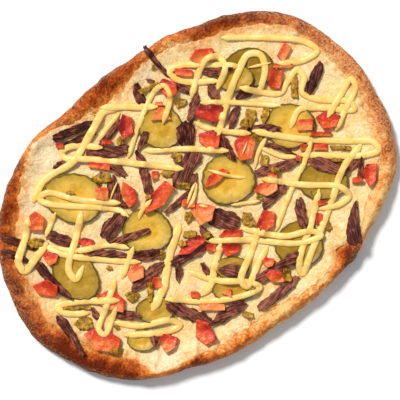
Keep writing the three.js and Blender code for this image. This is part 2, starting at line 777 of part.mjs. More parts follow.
function layPiece(name, outline, thick, edge, finish) {
  const geometry = slab(outline, thick, edge, rest);
  boxOf(geometry);
  surface.lay(geometry);
  return { name, outline, geometry, finish };
}

function numbered(kind, index) {
  return `${kind}_${String(index + 1).padStart(2, '0')}`;
}

const toppings = [
  ...GHERKINS.map((slice, index) =>
    layPiece(numbered('gherkin', index), roundOutline(slice), GHERKIN_THICK, GHERKIN_EDGE,
      GHERKIN_FINISH)),
  ...BEEF.map((strip, index) =>
    layPiece(numbered('beef', index), stripOutline(strip), BEEF_THICK, CUT_EDGE, BEEF_FINISH)),
  ...TOMATO.map((piece, index) =>
    layPiece(numbered('tomato', index), corneredOutline(piece), TOMATO_THICK, CUT_EDGE,
      TOMATO_FINISH)),
];

// Small pieces and strokes follow the surface below and reach a little into it.
const small = [
  ...SMALL_TOMATO.map((piece) => ({ outline: corneredOutline(piece), thick: SMALL_TOMATO_THICK })),
  ...SMALL_BEEF.map((strip) => ({ outline: stripOutline(strip), thick: SMALL_BEEF_THICK })),
  ...HERBS.map((piece) => ({ outline: corneredOutline(piece), thick: HERB_THICK })),
];

function inside(outline, point) {
  return outline.reduce((odd, corner, index) => {
    const next = outline[(index + 1) % outline.length];
    const spans = corner.y > point.y !== next.y > point.y;
    const crossing = corner.x + ((point.y - corner.y) / (next.y - corner.y)) * (next.x - corner.x);
    return spans && point.x < crossing ? !odd : odd;
  }, false);
}

function middleOf(outline) {
  return outline.reduce((sum, point) => sum.add(point), new THREE.Vector2())
    .divideScalar(outline.length);
}

// The top of one mesh near (x, y), or its general top where the point is beside it.
function hostTop(geometry) {
  const general = boxOf(geometry).max.z - GAP;
  const top = new HeightMap([geometry]);
  return (x, y) => {
    const height = top.near(x, y, 1);
    return height > 0 ? height : general;
  };
}

const skyline = (x, y) => Math.max(surface.near(x, y, 1), CHEESE_LEVEL);

// What is fused on a host: small pieces that lie on it and the strokes that cross it.
function trimmings(host, smallHere) {
  const top = hostTop(host);
  const bits = smallHere.map(({ outline, thick }) => {
    const rooted = (x, y) => top(x, y) - SMALL_ROOT;
    return toSolid(slab(outline, thick + SMALL_ROOT, SMALL_EDGE, rooted));
  });
  const strokes = solidStrokes.map((stroke) => strokeGeometry(stroke, top, skyline))
    .filter((geometry) => boxOf(geometry).intersectsBox(host.boundingBox))
    .map(toSolid);
  return [...bits, ...strokes];
}

function join(solids) {
  return solids.reduce((whole, solid) => whole.add(solid));
}

// Each small piece belongs to the last laid topping under its middle, or to the cheese.
const hostOf = small.map(({ outline }) => {
  const middle = middleOf(outline);
  return toppings.findLastIndex((topping) => inside(topping.outline, middle));
});

function cutAway(solid, cutters) {
  return cutters.reduce((left, cutter) => left.subtract(cutter), solid);
}

function toppingSolid({ outline, geometry }, index) {
  const above = toppings.slice(index + 1).filter((upper) =>
    upper.geometry.boundingBox.intersectsBox(geometry.boundingBox));
  const below = toppings.slice(0, index).filter((lower) =>
    lower.geometry.boundingBox.intersectsBox(geometry.boundingBox));
  const mine = small.filter((_, piece) => hostOf[piece] === index);
  const extras = trimmings(geometry, mine);
  let solid = toSolid(geometry);
  if (extras.length > 0) {
    const within = join(extras).intersect(toSolid(column(outline, -INSIDE_HOST)));
    solid = solid.add(cutAway(within, above.map((upper) => toSolid(column(upper.outline, GAP)))));
  }
  const lower = [...below.map((piece) => piece.geometry), cheese, crust];
  return cutAway(solid, lower.map((piece) => toSolid(swollen(piece, CLEARANCE))));
}

function cheeseSolid() {
  const mine = small.filter((_, piece) => hostOf[piece] < 0);
  const extras = cutAway(
    join(trimmings(cheese, mine)),
    toppings.map((topping) => toSolid(column(topping.outline, GAP))),
  );
  return toSolid(cheese).add(extras).subtract(toSolid(swollen(crust, CLEARANCE)));
}

function namedMesh(name, geometry, finish) {
  const mesh = new THREE.Mesh(geometry, new THREE.MeshStandardMaterial(finish));
  mesh.name = name;
  return mesh;
}

const pizza = new THREE.Group();
pizza.add(namedMesh('crust', crust, CRUST_FINISH));
pizza.add(namedMesh('cheese', fromSolid(cheeseSolid()), CHEESE_FINISH));
toppings.forEach((topping, index) => {
  pizza.add(namedMesh(topping.name, fromSolid(toppingSolid(topping, index)), topping.finish));
});

export default pizza;
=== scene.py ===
"""A roman pizza, dressed for its picture.

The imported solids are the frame. Each sub-assembly is a class that holds its sizes in
millimetres, models its meshes with bmesh and dresses them with its own finish. Pieces are laid
one after another on a height map of the food, so that each rests on what is below it. Places
are picture readings in pixels, on a picture of 400 by 400.
"""
import logging
import math
from dataclasses import dataclass, field
from enum import Enum
from typing import Callable, Iterable, Optional, Sequence

import bmesh
import bpy
import numpy as np
from mathutils import Matrix, Vector, noise
from mathutils.bvhtree import BVHTree


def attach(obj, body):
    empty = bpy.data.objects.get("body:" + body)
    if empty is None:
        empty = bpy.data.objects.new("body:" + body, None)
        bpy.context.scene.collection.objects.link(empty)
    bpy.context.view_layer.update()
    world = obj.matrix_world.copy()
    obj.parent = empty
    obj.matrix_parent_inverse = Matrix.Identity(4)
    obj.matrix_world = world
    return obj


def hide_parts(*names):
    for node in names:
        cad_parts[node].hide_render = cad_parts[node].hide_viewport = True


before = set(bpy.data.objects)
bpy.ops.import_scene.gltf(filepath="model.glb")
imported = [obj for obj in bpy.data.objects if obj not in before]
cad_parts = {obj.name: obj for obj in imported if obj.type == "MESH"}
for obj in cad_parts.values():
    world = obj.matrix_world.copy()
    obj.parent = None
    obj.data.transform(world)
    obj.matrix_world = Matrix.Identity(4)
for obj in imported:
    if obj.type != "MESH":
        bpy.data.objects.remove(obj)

log = logging.getLogger("pizza")

Reading = tuple[float, float]
Colour = tuple[int, int, int]
Height = Callable[[float, float], float]
BMesh = bmesh.types.BMesh
Socket = bpy.types.NodeSocket
Layers = tuple[Socket, Socket, Socket]

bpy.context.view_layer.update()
MM = 0.001
MM_PER_PIXEL = 0.68
LONG_AXIS_TURN = math.radians(36.4)
MIDDLE = (194.65, 198.64)
PICTURE_PIXELS = 400
UP = Vector((0, 0, 1))
GAP = 0.05  # mm, between a piece and what it lies on
OVERHANG_HEIGHT = 10.0  # mm, where a piece that reaches past the bread's edge stays


class Slot(Enum):
    """The record's material slots."""

    CRUST = "crust"
    CHEESE = "cheese"
    GHERKIN = "gherkin"
    BEEF = "beef"
    TOMATO = "tomato"
    HERB = "herb"
    MUSTARD = "mustard"


@dataclass(frozen=True)
class Slice:
    """A round slice: its middle in the picture, sizes in mm, turn in degrees and tone, which for
    one slice also holds painted shade.
    """

    at: Reading
    long: float
    wide: float
    turn: float = 0
    tone: float = 0.1


@dataclass(frozen=True)
class Chunk:
    """A cornered piece. The tone runs from 0, the palest, to 1, the deepest."""

    at: Reading
    long: float
    wide: float
    turn: float = 0
    corners: int = 5
    tone: float = 0.5


@dataclass(frozen=True)
class Strip:
    """A strip between two readings. The taper is the far end's share of the width."""

    start: Reading
    end: Reading
    wide: float
    tone: float = 0.5
    taper: float = 0.9


@dataclass(frozen=True)
class Stroke:
    """A mustard stroke: its width in mm and its centre line in the picture."""

    wide: float
    line: tuple[Reading, ...]


# The third slice's deepest tone, 0.95, is painted shade: it darkens that slice towards olive brown
# as if it lay in shadow.
GHERKINS = tuple(Slice(*values) for values in (
    ((74, 198), 42, 34, -15, 0.0), ((161, 128), 30, 29, 0, 0.35), ((249, 68), 35, 27, 0, 0.95),
    ((290, 126), 34, 31), ((228, 180), 37, 34, 0, 0.0), ((147, 231), 34, 31, 0, 0.05),
    ((76, 276), 37, 29, -50, 0.62), ((155, 310), 26, 19, 0, 0.5), ((142, 340), 20, 15, 0, 0.3),
    ((232, 268), 24, 16, 0, 0.5), ((234, 290), 31, 15, 0, 0.5), ((299, 244), 33, 31, 0, 0.75),
    ((323, 181), 34, 26, 0, 0.7), ((235, 78), 25, 19, 0, 0.5),
))

BEEF = tuple(Strip(*values) for values in (
    ((86, 153), (128, 149), 8), ((280, 129), (236, 131), 6), ((321, 62), (307, 93), 7.5, 1.1),
    ((197, 94), (190, 121), 7.5), ((187, 122), (187, 150), 13, 0.9),
    ((141, 163), (149, 194), 6.5, 0.4), ((112, 176), (118, 202), 8), ((199, 152), (174, 186), 11),
    ((219, 133), (234, 160), 7.5), ((204, 216), (240, 222), 13, 0.6),
    ((207, 246), (172, 264), 7.5), ((124, 214), (104, 238), 11, 0.7),
    ((44, 233), (75, 244), 7.5, 0.6), ((35, 261), (72, 299), 8, 0.8, 0.5),
    ((57, 315), (84, 355), 8, 0.8, 0.35), ((163, 263), (132, 291), 8), ((167, 303), (213, 322), 9),
    ((245, 302), (212, 324), 8), ((298, 276), (258, 309), 7, 0.3),
    ((297, 253), (254, 281), 8, 0.4), ((354, 244), (356, 200), 12, 0.6, 0.25),
    ((299, 198), (305, 232), 7.5), ((298, 161), (254, 173), 7, 0.4),
    ((308, 161), (346, 170), 9.5, 0.3),
))

TOMATO = tuple(Chunk(*values) for values in (
    ((126, 127), 16, 10, 80, 5, 1.0), ((202, 56), 17, 9, 15, 5, 0.35),
    ((168, 88), 13, 12, 0, 5, 0.7), ((210, 113), 18, 12, 0, 6, 1.0),
    ((275, 79), 14, 12, 80, 4, 0.6), ((328, 120), 15, 12, -10, 5, 0.7),
    ((210, 140), 15, 12, -10, 6, 0.6), ((245, 147), 17, 16, 60), ((370, 174), 15, 10, 80, 5, 0.7),
    ((267, 188), 15, 10, 20, 5, 0.3), ((266, 221), 15, 12, 80, 5, 0.7),
    ((203, 213), 15, 14, 0, 5, 0.2), ((192, 245), 19, 9, 32, 5, 0.9),
    ((159, 197), 25, 12, 56, 5, 0.6), ((129, 195), 16, 10, -70, 5, 0.6), ((36, 222), 13, 12, 60),
    ((112, 301), 19, 13, -20), ((104, 340), 24, 15, -15), ((168, 342), 12, 12),
    ((205, 332), 17, 13, -50, 5, 0.7),
))

SMALL_TOMATO = tuple(Chunk(*values) for values in (
    ((184, 73), 15, 6, -5, 4), ((162, 115), 15, 14, 30, 3, 0.1), ((283, 66), 16, 4, 0, 4, 0.4),
    ((284, 52), 12, 9, 60, 4, 0.3), ((305, 125), 12, 10, 0, 4, 0.3),
    ((216, 178), 18, 7, 40, 5, 0.6), ((231, 236), 14, 11, 10, 5, 0.7),
    ((230, 249), 14, 8, 0, 5, 0.8), ((102, 194), 12, 9, 0, 4, 0.15), ((99, 166), 18, 5, -8, 4),
    ((51, 258), 10, 9, 0, 5, 0.6), ((47, 289), 16, 12, -20, 5, 0.7),
    ((136, 273), 12, 11, 0, 5, 0.2), ((213, 307), 19, 7, 0, 4, 0.1), ((275, 276), 12, 9),
    ((159, 104), 6, 4, 0, 4, 0.2), ((320, 134), 15, 4, 0, 4), ((304, 148), 6, 7, 0, 4, 0.4),
    ((320, 147), 10, 6, 0, 4), ((357, 180), 7, 6, 0, 4, 0.6), ((298, 158), 6, 4, 90, 4),
    ((272, 176), 10, 5, 0, 4, 0.3), ((188, 203), 10, 7, 0, 4), ((211, 248), 8, 6, 0, 4, 0.6),
    ((155, 175), 7, 6, 0, 4), ((87, 243), 10, 8, 0, 5, 0.8), ((157, 283), 9, 7, 90),
    ((195, 295), 6, 7, 0, 4), ((228, 293), 8, 7, 0, 3, 0.1), ((268, 262), 8, 7),
    ((319, 219), 10, 6, 90, 4, 0.9), ((322, 203), 7, 5, 0, 4, 0.6), ((107, 142), 8, 5, 0, 4, 0.8),
    ((60, 146), 6, 5, 0, 4, 0.6),
))

SMALL_BEEF = tuple(Strip(*values) for values in (
    ((53, 140), (97, 122), 6, 1), ((53, 168), (85, 158), 5, 0.8),
    ((136, 84), (142, 104), 7.5, 0.7), ((144, 46), (170, 78), 4, 0.7), ((175, 84), (196, 93), 6.5),
    ((200, 72), (232, 70), 6), ((210, 84), (216, 104), 8.5), ((236, 98), (255, 88), 7.5, 0.8),
    ((238, 106), (230, 130), 6.5), ((113, 165), (126, 176), 8), ((193, 172), (192, 193), 8),
    ((132, 257), (163, 253), 7.5, 0.6), ((110, 243), (150, 230), 5, 0.3),
    ((84, 253), (127, 256), 5), ((2, 238), (36, 250), 5, 0.8), ((2, 251), (31, 263), 5, 0.9),
    ((114, 316), (141, 316), 7), ((286, 185), (262, 208), 6.5, 0.4), ((219, 270), (243, 269), 9),
    ((60, 147), (95, 132), 5, 0.9), ((98, 148), (120, 120), 5), ((146, 131), (138, 150), 5),
    ((136, 151), (146, 165), 6.5), ((117, 203), (132, 206), 5), ((190, 190), (165, 213), 5),
    ((200, 228), (214, 240), 6), ((178, 262), (178, 281), 6), ((202, 263), (208, 275), 5),
    ((92, 307), (100, 320), 5), ((362, 159), (346, 172), 5), ((361, 158), (359, 182), 4.5),
    ((265, 144), (297, 156), 3.5), ((155, 334), (155, 346), 6),
    ((203, 112), (214, 124), 7, 0.5, 0.4), ((146, 80), (154, 82), 5),
))

HERBS = tuple(Chunk(*values) for values in (
    ((150, 88), 16, 5, 25, 4), ((102, 178), 12, 8), ((180, 103), 9, 6), ((184, 186), 10, 5, 0, 4),
    ((190, 234), 12, 5, 0, 4), ((248, 220), 11, 9, -50), ((264, 160), 10, 6, 80, 4),
    ((250, 118), 12, 9, 90), ((294, 86), 17, 7, 90, 4), ((341, 148), 17, 4, 0, 4),
    ((287, 275), 10, 7, 90, 4), ((84, 323), 12, 10), ((36, 243), 11, 7), ((132, 296), 9, 7),
    ((150, 292), 14, 5, 90, 4), ((70, 194), 6, 5), ((153, 68), 3, 3), ((176, 157), 7, 7),
    ((167, 174), 8, 5), ((148, 197), 4, 4), ((188, 217), 8, 5, 90), ((182, 244), 6, 4),
    ((207, 235), 5, 5), ((257, 137), 8, 6), ((265, 115), 12, 5, 80), ((245, 124), 8, 6, 90),
    ((275, 170), 6, 4), ((259, 198), 5, 4, 90), ((336, 160), 8, 3), ((314, 193), 5, 4),
    ((328, 226), 7, 4, 90), ((248, 315), 8, 5), ((109, 268), 4, 3), ((117, 327), 4, 3),
    ((117, 351), 8, 6), ((78, 308), 20, 3, 0, 4), ((121, 141), 6, 6), ((97, 118), 4, 4),
    ((162, 255), 7, 3, 90), ((252, 289), 5, 3),
))

STROKES = tuple(Stroke(*values) for values in (
    (4.2, ((221, 38), (265, 38), (305, 42), (317, 51), (305, 60), (278, 64))),
    (4.4, ((240, 67), (210, 65), (180, 66), (169, 72), (180, 81), (219, 81))),
    (4.2, ((191, 99), (198, 75), (207, 59), (218, 57), (225, 67), (217, 90))),
    (4.6, ((218, 136), (225, 108), (237, 75), (248, 55), (260, 55), (265, 70), (258, 95))),
    (4.4, ((239, 88), (280, 93), (286, 84), (297, 70), (304, 78), (302, 92), (315, 99),
          (350, 102), (354, 109), (315, 108), (299, 110), (290, 129))),
    (3.8, ((200, 103), (240, 103), (281, 106))),
    (4.2, ((327, 118), (340, 96), (351, 79), (355, 88), (345, 110), (335, 131))),
    (4.0, ((194, 122), (210, 129), (251, 134))),
    (4.6, ((252, 131), (300, 139), (345, 141), (373, 142), (378, 150), (365, 155), (299, 155))),
    (3.4, ((267, 136), (257, 155), (255, 168))), (3.4, ((260, 147), (280, 156), (297, 157))),
    (4.0, ((311, 138), (306, 158), (290, 193), (275, 232))),
    (4.6, ((362, 143), (342, 170), (331, 203), (312, 250), (302, 274), (299, 262), (312, 220),
          (319, 189))),
    (4.2, ((261, 179), (305, 185), (340, 187), (349, 196), (340, 204), (318, 209))),
    (2.4, ((208, 170), (230, 176), (246, 178))), (3.0, ((231, 205), (260, 201))),
    (4.2, ((144, 151), (185, 149), (229, 151))),
    (4.4, ((103, 148), (85, 146), (70, 147), (62, 152), (65, 158), (80, 159), (110, 161),
          (184, 169))),
    (5.2, ((33, 203), (43, 182), (55, 173), (72, 163), (93, 130), (104, 112), (120, 108))),
    (4.8, ((100, 108), (125, 107), (158, 107))), (3.6, ((99, 141), (105, 131), (120, 113))),
    (3.8, ((128, 158), (141, 120), (155, 91), (164, 86), (170, 97), (163, 124))),
    (4.2, ((121, 203), (80, 200), (47, 193), (40, 199), (50, 204), (118, 210), (129, 217))),
    (5.2, ((29, 217), (25, 240), (19, 262), (25, 271), (36, 258), (48, 242))),
    (3.4, ((56, 212), (52, 222), (45, 238))),
    (4.0, ((46, 246), (75, 251), (110, 245), (130, 248))),
    (4.2, ((46, 247), (62, 254), (105, 260), (141, 262))),
    (4.6, ((82, 211), (77, 235), (69, 270), (76, 279), (84, 265))),
    (4.0, ((134, 246), (127, 265), (122, 279))),
    (4.0, ((116, 278), (106, 308), (99, 329), (105, 334), (117, 306))),
    (4.6, ((120, 300), (75, 302), (57, 307), (65, 313), (90, 313))),
    (6.0, ((180, 223), (170, 253), (163, 288), (152, 311))),
    (4.4, ((114, 322), (140, 326), (170, 320), (180, 325), (170, 331), (124, 335))),
    (4.2, ((165, 299), (210, 301), (245, 295), (260, 287), (248, 282), (215, 280), (188, 271))),
    (5.0, ((221, 243), (215, 265), (211, 285), (201, 296))),
    (4.2, ((207, 241), (250, 240), (300, 243), (321, 235), (310, 231), (285, 236), (240, 228))),
    (4.6, ((259, 228), (252, 250), (241, 280), (247, 286), (259, 262), (268, 246))),
    (2.6, ((197, 183), (193, 200), (188, 208))), (3.2, ((152, 199), (141, 213), (139, 220))),
    (1.2, ((118, 181), (114, 190), (110, 201))), (1.4, ((247, 142), (242, 155))),
    (2.2, ((248, 68), (258, 66), (271, 63))), (2.8, ((199, 205), (208, 207))),
    (2.2, ((196, 182), (192, 190), (187, 204))),
))


def on_pizza(reading: Reading) -> Vector:
    """A picture reading as a point on the pizza.

    Args:
        reading: column and row in pixels.

    Returns:
        The point in mm, in the part's axes.
    """
    across = (reading[0] - MIDDLE[0]) * MM_PER_PIXEL
    up = (MIDDLE[1] - reading[1]) * MM_PER_PIXEL
    return Matrix.Rotation(-LONG_AXIS_TURN, 2) @ Vector((across, up))


def turned(degrees: float) -> float:
    """The direction in the part's axes, in radians, of one in the picture, in degrees."""
    return math.radians(degrees) - LONG_AXIS_TURN


def wander(x: float, y: float, size: float, seed: float = 0.0) -> float:
    """Smooth noise between about -1 and 1, with features of a size in mm."""
    return noise.noise(Vector((x / size, y / size, seed)))


@dataclass(frozen=True)
class Relief:
    """Smooth unevenness: its height and the size of its features in mm, and its seed."""

    height: float
    size: float
    seed: float = 0.0

    def over(self, x: float, y: float) -> float:
        """The unevenness over a point of the plan."""
        return self.height * wander(x, y, self.size, self.seed)

    def at(self, point: Vector) -> float:
        """The unevenness at a point in space, where the seed has no part."""
        return self.height * noise.noise(point / self.size)


def smoothstep(value: float, low: float, high: float) -> float:
    """An eased rise from 0 at low to 1 at high."""
    share = min(max((value - low) / (high - low), 0.0), 1.0)
    return share * share * (3 - 2 * share)


def fade(value: float, low: float, high: float) -> float:
    """An eased fall from 1 at low to 0 at high."""
    return 1 - smoothstep(value, low, high)


def at_least(low: float, share: float) -> float:
    """A share of 0 to 1, raised so that it starts at low."""
    return low + (1 - low) * share


def smooth_line(readings: Sequence[Reading], spacing: float) -> list[Vector]:
    """An even line through picture readings.

    Args:
        readings: the points that the line passes, in pixels.
        spacing: the distance between the points given back, in mm.

    Returns:
        Points in mm along a centripetal spline.
    """
    def blend(t: float, t_a: float, a: Vector, t_b: float, b: Vector) -> Vector:
        """The point at t between a, at t_a, and b, at t_b."""
        return a * ((t_b - t) / (t_b - t_a)) + b * ((t - t_a) / (t_b - t_a))

    points = [on_pizza(reading) for reading in readings]
    knots = [2 * points[0] - points[1], *points, 2 * points[-1] - points[-2]]
    fine: list[Vector] = []
    for before, start, end, after in zip(knots, knots[1:], knots[2:], knots[3:]):
        steps = max(2, round((end - start).length / spacing))
        t1 = math.sqrt((start - before).length)
        t2 = t1 + math.sqrt((end - start).length)
        t3 = t2 + math.sqrt((after - end).length)
        for step in range(steps):
            t = t1 + (t2 - t1) * step / steps
            middle = blend(t, t1, start, t2, end)
            lower = blend(t, 0, before * (1 - t / t1) + start * (t / t1), t2, middle)
            upper = blend(t, t1, middle, t3, blend(t, t2, end, t3, after))
            fine.append(blend(t, t1, lower, t2, upper))
    return [*fine, points[-1]]


@dataclass
class Ground:
    """How high the food reaches over each spot of the plan, on a grid in mm."""

    half_long: float = 153
    half_wide: float = 112
    step: float = 0.5
    above: float = 100
    height: np.ndarray = field(init=False)

    def __post_init__(self) -> None:
        """Starts an empty map of the plan."""
        rows = round(2 * self.half_wide / self.step) + 1
        self.height = np.zeros((rows, round(2 * self.half_long / self.step) + 1))

    def window(self, low: Vector, high: Vector, margin: float) -> tuple[slice, slice]:
        """The rows and columns that cover a box with a margin."""
        def cells(start: float, end: float, half: float, count: int) -> slice:
            """The cells from a start to an end along one axis of the map."""
            first = max(int((start - margin + half) / self.step), 0)
            return slice(first, min(int((end + margin + half) / self.step) + 2, count))

        rows, columns = self.height.shape
        return (
            cells(low.y, high.y, self.half_wide, rows),
            cells(low.x, high.x, self.half_long, columns),
        )

    def lay(self, mesh: BMesh) -> None:
        """Raises the map to the top of a piece."""
        tree = BVHTree.FromBMesh(mesh)
        low, high = box_of(mesh.verts)
        rows, columns = self.window(low, high, 0)
        for row in range(rows.start, rows.stop):
            y = row * self.step - self.half_wide
            for column in range(columns.start, columns.stop):
                x = column * self.step - self.half_long
                hit = tree.ray_cast(Vector((x, y, self.above)), -UP)[0]
                if hit is not None and hit.z > self.height[row, column]:
                    self.height[row, column] = hit.z

    def cushion(self, low: Vector, high: Vector, reach: float, soften: float) -> Height:
        """What a soft piece over a box rests on.

        Args:
            low: the box's lowest corner, in mm.
            high: its highest corner.
            reach: how far away a point still holds the piece up.
            soften: how widely the piece evens out the steps.

        Returns:
            A function that gives the height at a point.
        """
        spare = 2  # mm round the box, for the neighbours of its outermost points
        rows, columns = self.window(low, high, reach + soften + spare)
        held = shifted(self.height[rows, columns], reach / self.step, np.maximum.reduce)
        held = shifted(held, soften / self.step, lambda stack: np.mean(stack, axis=0))
        last_row, last_column = (count - 1.001 for count in held.shape)

        def height_at(x: float, y: float) -> float:
            """The height between the map's four nearest points."""
            column = (x + self.half_long) / self.step - columns.start
            row = (y + self.half_wide) / self.step - rows.start
            column = min(max(column, 0), last_column)
            row = min(max(row, 0), last_row)
            c, r = int(column), int(row)
            u, v = column - c, row - r
            lower = held[r, c] * (1 - u) + held[r, c + 1] * u
            upper = held[r + 1, c] * (1 - u) + held[r + 1, c + 1] * u
            return float(lower * (1 - v) + upper * v)

        return height_at


def shifted(grid: np.ndarray, cells: float, join: Callable) -> np.ndarray:
    """A grid joined with its neighbours within a radius, by a function such as the mean."""
    whole = int(math.ceil(cells))
    padded = np.pad(grid, whole, mode="edge")
    rows, columns = grid.shape
    steps = range(-whole, whole + 1)
    reach = cells * cells + 0.5  # a little wider, so that the disc has no single points
    stack = [
        padded[whole + dy:whole + dy + rows, whole + dx:whole + dx + columns]
        for dy in steps for dx in steps if dx * dx + dy * dy <= reach
    ]
    return join(np.array(stack))


def box_of(verts: Iterable[bmesh.types.BMVert]) -> tuple[Vector, Vector]:
    """The lowest and highest corners of some vertices."""
    points = np.array([vert.co[:] for vert in verts])
    return Vector(points.min(0)), Vector(points.max(0))


def stored(name: str, mesh: BMesh) -> bpy.types.Mesh:
    """A mesh as named data. The mesh that is given is freed."""
    data = bpy.data.meshes.new(name)
    mesh.to_mesh(data)
    mesh.free()
    return data


def placed(name: str, data: bpy.types.ID) -> bpy.types.Object:
    """An object in the scene that holds some data."""
    made = bpy.data.objects.new(name, data)
    bpy.context.scene.collection.objects.link(made)
    return made


def joined(meshes: Iterable[BMesh]) -> BMesh:
    """Several meshes as one, each freed."""
    whole = bmesh.new()
    for mesh in meshes:
        data = stored("part", mesh)
        whole.from_mesh(data)
        bpy.data.meshes.remove(data)
    return whole


def evaluated(mesh: BMesh, kind: str, **settings: object) -> BMesh:
    """A mesh after one modifier.

    Args:
        mesh: the mesh, which is freed.
        kind: the modifier's type.
        settings: the modifier's values.

    Returns:
        The changed mesh.
    """
    data = stored("work", mesh)
    work = placed("work", data)
    modifier = work.modifiers.new("step", kind)
    for name, value in settings.items():
        setattr(modifier, name, value)
    depsgraph = bpy.context.evaluated_depsgraph_get()
    changed = bpy.data.meshes.new_from_object(work.evaluated_get(depsgraph))
    made = bmesh.new()
    made.from_mesh(changed)
    bpy.data.objects.remove(work)
    bpy.data.meshes.remove(data)
    bpy.data.meshes.remove(changed)
    return made


def prism(outline: Sequence[Vector], thick: float) -> BMesh:
    """A flat piece with straight sides, from its outline and thickness in mm."""
    mesh = bmesh.new()
    face = mesh.faces.new([mesh.verts.new((point.x, point.y, 0)) for point in outline])
    grown = bmesh.ops.extrude_face_region(mesh, geom=[face])
    top = [item for item in grown["geom"] if isinstance(item, bmesh.types.BMVert)]
    bmesh.ops.translate(mesh, verts=top, vec=UP * thick)
    bmesh.ops.recalc_face_normals(mesh, faces=mesh.faces)
    return mesh


def spun(profile: Sequence[tuple[float, float]], steps: int) -> BMesh:
    """A round mesh from its profile, as reaches and heights, from the axis back to the axis."""
    mesh = bmesh.new()
    chain = [mesh.verts.new((reach, 0, height)) for reach, height in profile]
    edges = [mesh.edges.new(pair) for pair in zip(chain, chain[1:])]
    bmesh.ops.spin(
        mesh, geom=[*chain, *edges], cent=(0, 0, 0), axis=UP, angle=2 * math.pi,
        steps=steps, use_merge=True,
    )
    bmesh.ops.remove_doubles(mesh, verts=mesh.verts, dist=1e-5)
    return mesh


def softened(mesh: BMesh, voxel: float, rounds: int) -> BMesh:
    """A mesh in even small faces with its edges rounded."""
    fine = evaluated(mesh, "REMESH", mode="VOXEL", voxel_size=voxel)
    for _ in range(rounds):
        bmesh.ops.smooth_vert(
            fine, verts=fine.verts, factor=0.5,
            use_axis_x=True, use_axis_y=True, use_axis_z=True,
        )
    return fine


def paint(mesh: BMesh, name: str, value_at: Callable[[Vector], float]) -> None:
    """Keeps a value for each vertex under a name that a material reads."""
    layer = mesh.verts.layers.float.get(name) or mesh.verts.layers.float.new(name)
    for vert in mesh.verts:
        vert[layer] = value_at(vert.co)


def finished(
    name: str, mesh: BMesh, material: bpy.types.Material, nodes: Sequence[str] = ()
) -> None:
    """Turns a mesh in mm into a piece of the scene that rides on the root body.

    Args:
        name: the piece's name.
        mesh: its mesh, which is freed.
        material: its finish.
        nodes: the CAD nodes that the piece stands for.
    """
    bmesh.ops.scale(mesh, vec=(MM, MM, MM), verts=mesh.verts)
    data = stored(name, mesh)
    data.shade_smooth()
    data.materials.append(material)
    piece = placed(name, data)
    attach(piece, "root")
    if nodes:
        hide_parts(*nodes)
    log.info("%s: %d faces", name, len(data.polygons))


def linear(colour: Colour) -> tuple[float, ...]:
    """A screen colour of 0 to 255 as the shader's linear values."""
    shares = [value / 255 for value in colour]
    return (*(
        share / 12.92 if share <= 0.04045 else ((share + 0.055) / 1.055) ** 2.4
        for share in shares
    ), 1.0)


class Graph:
    """Places and joins the nodes of one material or node group."""

    def __init__(self, tree: bpy.types.NodeTree) -> None:
        """Holds the tree that the nodes go into."""
        self.tree = tree

    def add(self, kind: str, inputs: Optional[dict] = None, **settings: object) -> bpy.types.Node:
        """A node with its settings, and its inputs linked or given a value."""
        node = self.tree.nodes.new(kind)
        for name, value in settings.items():
            setattr(node, name, value)
        for name, value in (inputs or {}).items():
            self.feed(node.inputs[name], value)
        return node

    def feed(self, socket: Socket, value: object) -> None:
        """Links a socket to another, or sets its value."""
        if isinstance(value, Socket):
            self.tree.links.new(value, socket)
        else:
            socket.default_value = value

    def noise(
        self, where: Socket, scale: object, detail: float, rough: float, warp: float = 0.0
    ) -> Socket:
        """Noise, with one over the size of its features as the scale."""
        inputs = {"Vector": where, "Scale": scale, "Detail": detail, "Roughness": rough}
        return self.add("ShaderNodeTexNoise", {**inputs, "Distortion": warp}).outputs[0]

    def math(self, operation: str, first: object, second: object) -> Socket:
        """One sum."""
        return self.add("ShaderNodeMath", {0: first, 1: second}, operation=operation).outputs[0]

    def product(self, first: object, second: object) -> Socket:
        """Two values multiplied."""
        return self.math("MULTIPLY", first, second)

    def total(self, start: object, *parts: object) -> Socket:
        """A start with numbers added to it, and with values times their weights."""
        for part in parts:
            added = self.product(*part) if isinstance(part, tuple) else part
            start = self.math("ADD", start, added)
        return start

    def rise(self, value: object, low: object, high: object) -> Socket:
        """An eased rise from 0 at low to 1 at high."""
        return self.add(
            "ShaderNodeMapRange", {"Value": value, "From Min": low, "From Max": high},
            interpolation_type="SMOOTHSTEP",
        ).outputs[0]

    def fall(self, value: object, low: float, high: float) -> Socket:
        """An eased fall from 1 at low to 0 at high."""
        return self.math("SUBTRACT", 1.0, self.rise(value, low, high))

    def mix(self, share: object, first: object, second: object) -> Socket:
        """A blend of two colours, given as sockets or as screen colours."""
        node = self.add("ShaderNodeMix", data_type="RGBA")
        self.feed(node.inputs[0], share)
        for place, colour in ((6, first), (7, second)):
            self.feed(node.inputs[place], linear(colour) if isinstance(colour, tuple) else colour)
        return node.outputs[2]

    def tint(self, colour: object, mask: Socket, strength: float, other: Colour) -> Socket:
        """A colour with another over it where a mask is, at a strength of 0 to 1."""
        return self.mix(self.product(mask, strength), colour, other)

    def ramp(self, value: Socket, colour: object, *stops: tuple[float, float, Colour]) -> Socket:
        """A colour that turns into others, each as the value rises between its two levels."""
        for low, high, after in stops:
            colour = self.mix(self.rise(value, low, high), colour, after)
        return colour

    def bump(
        self, height: Socket, depth: float, strength: float, normal: Optional[Socket] = None
    ) -> Socket:
        """A bumpy normal from a height, with the depth in mm."""
        inputs = {"Height": height, "Distance": depth * MM, "Strength": strength}
        if normal is not None:
            inputs["Normal"] = normal
        return self.add("ShaderNodeBump", inputs).outputs[0]


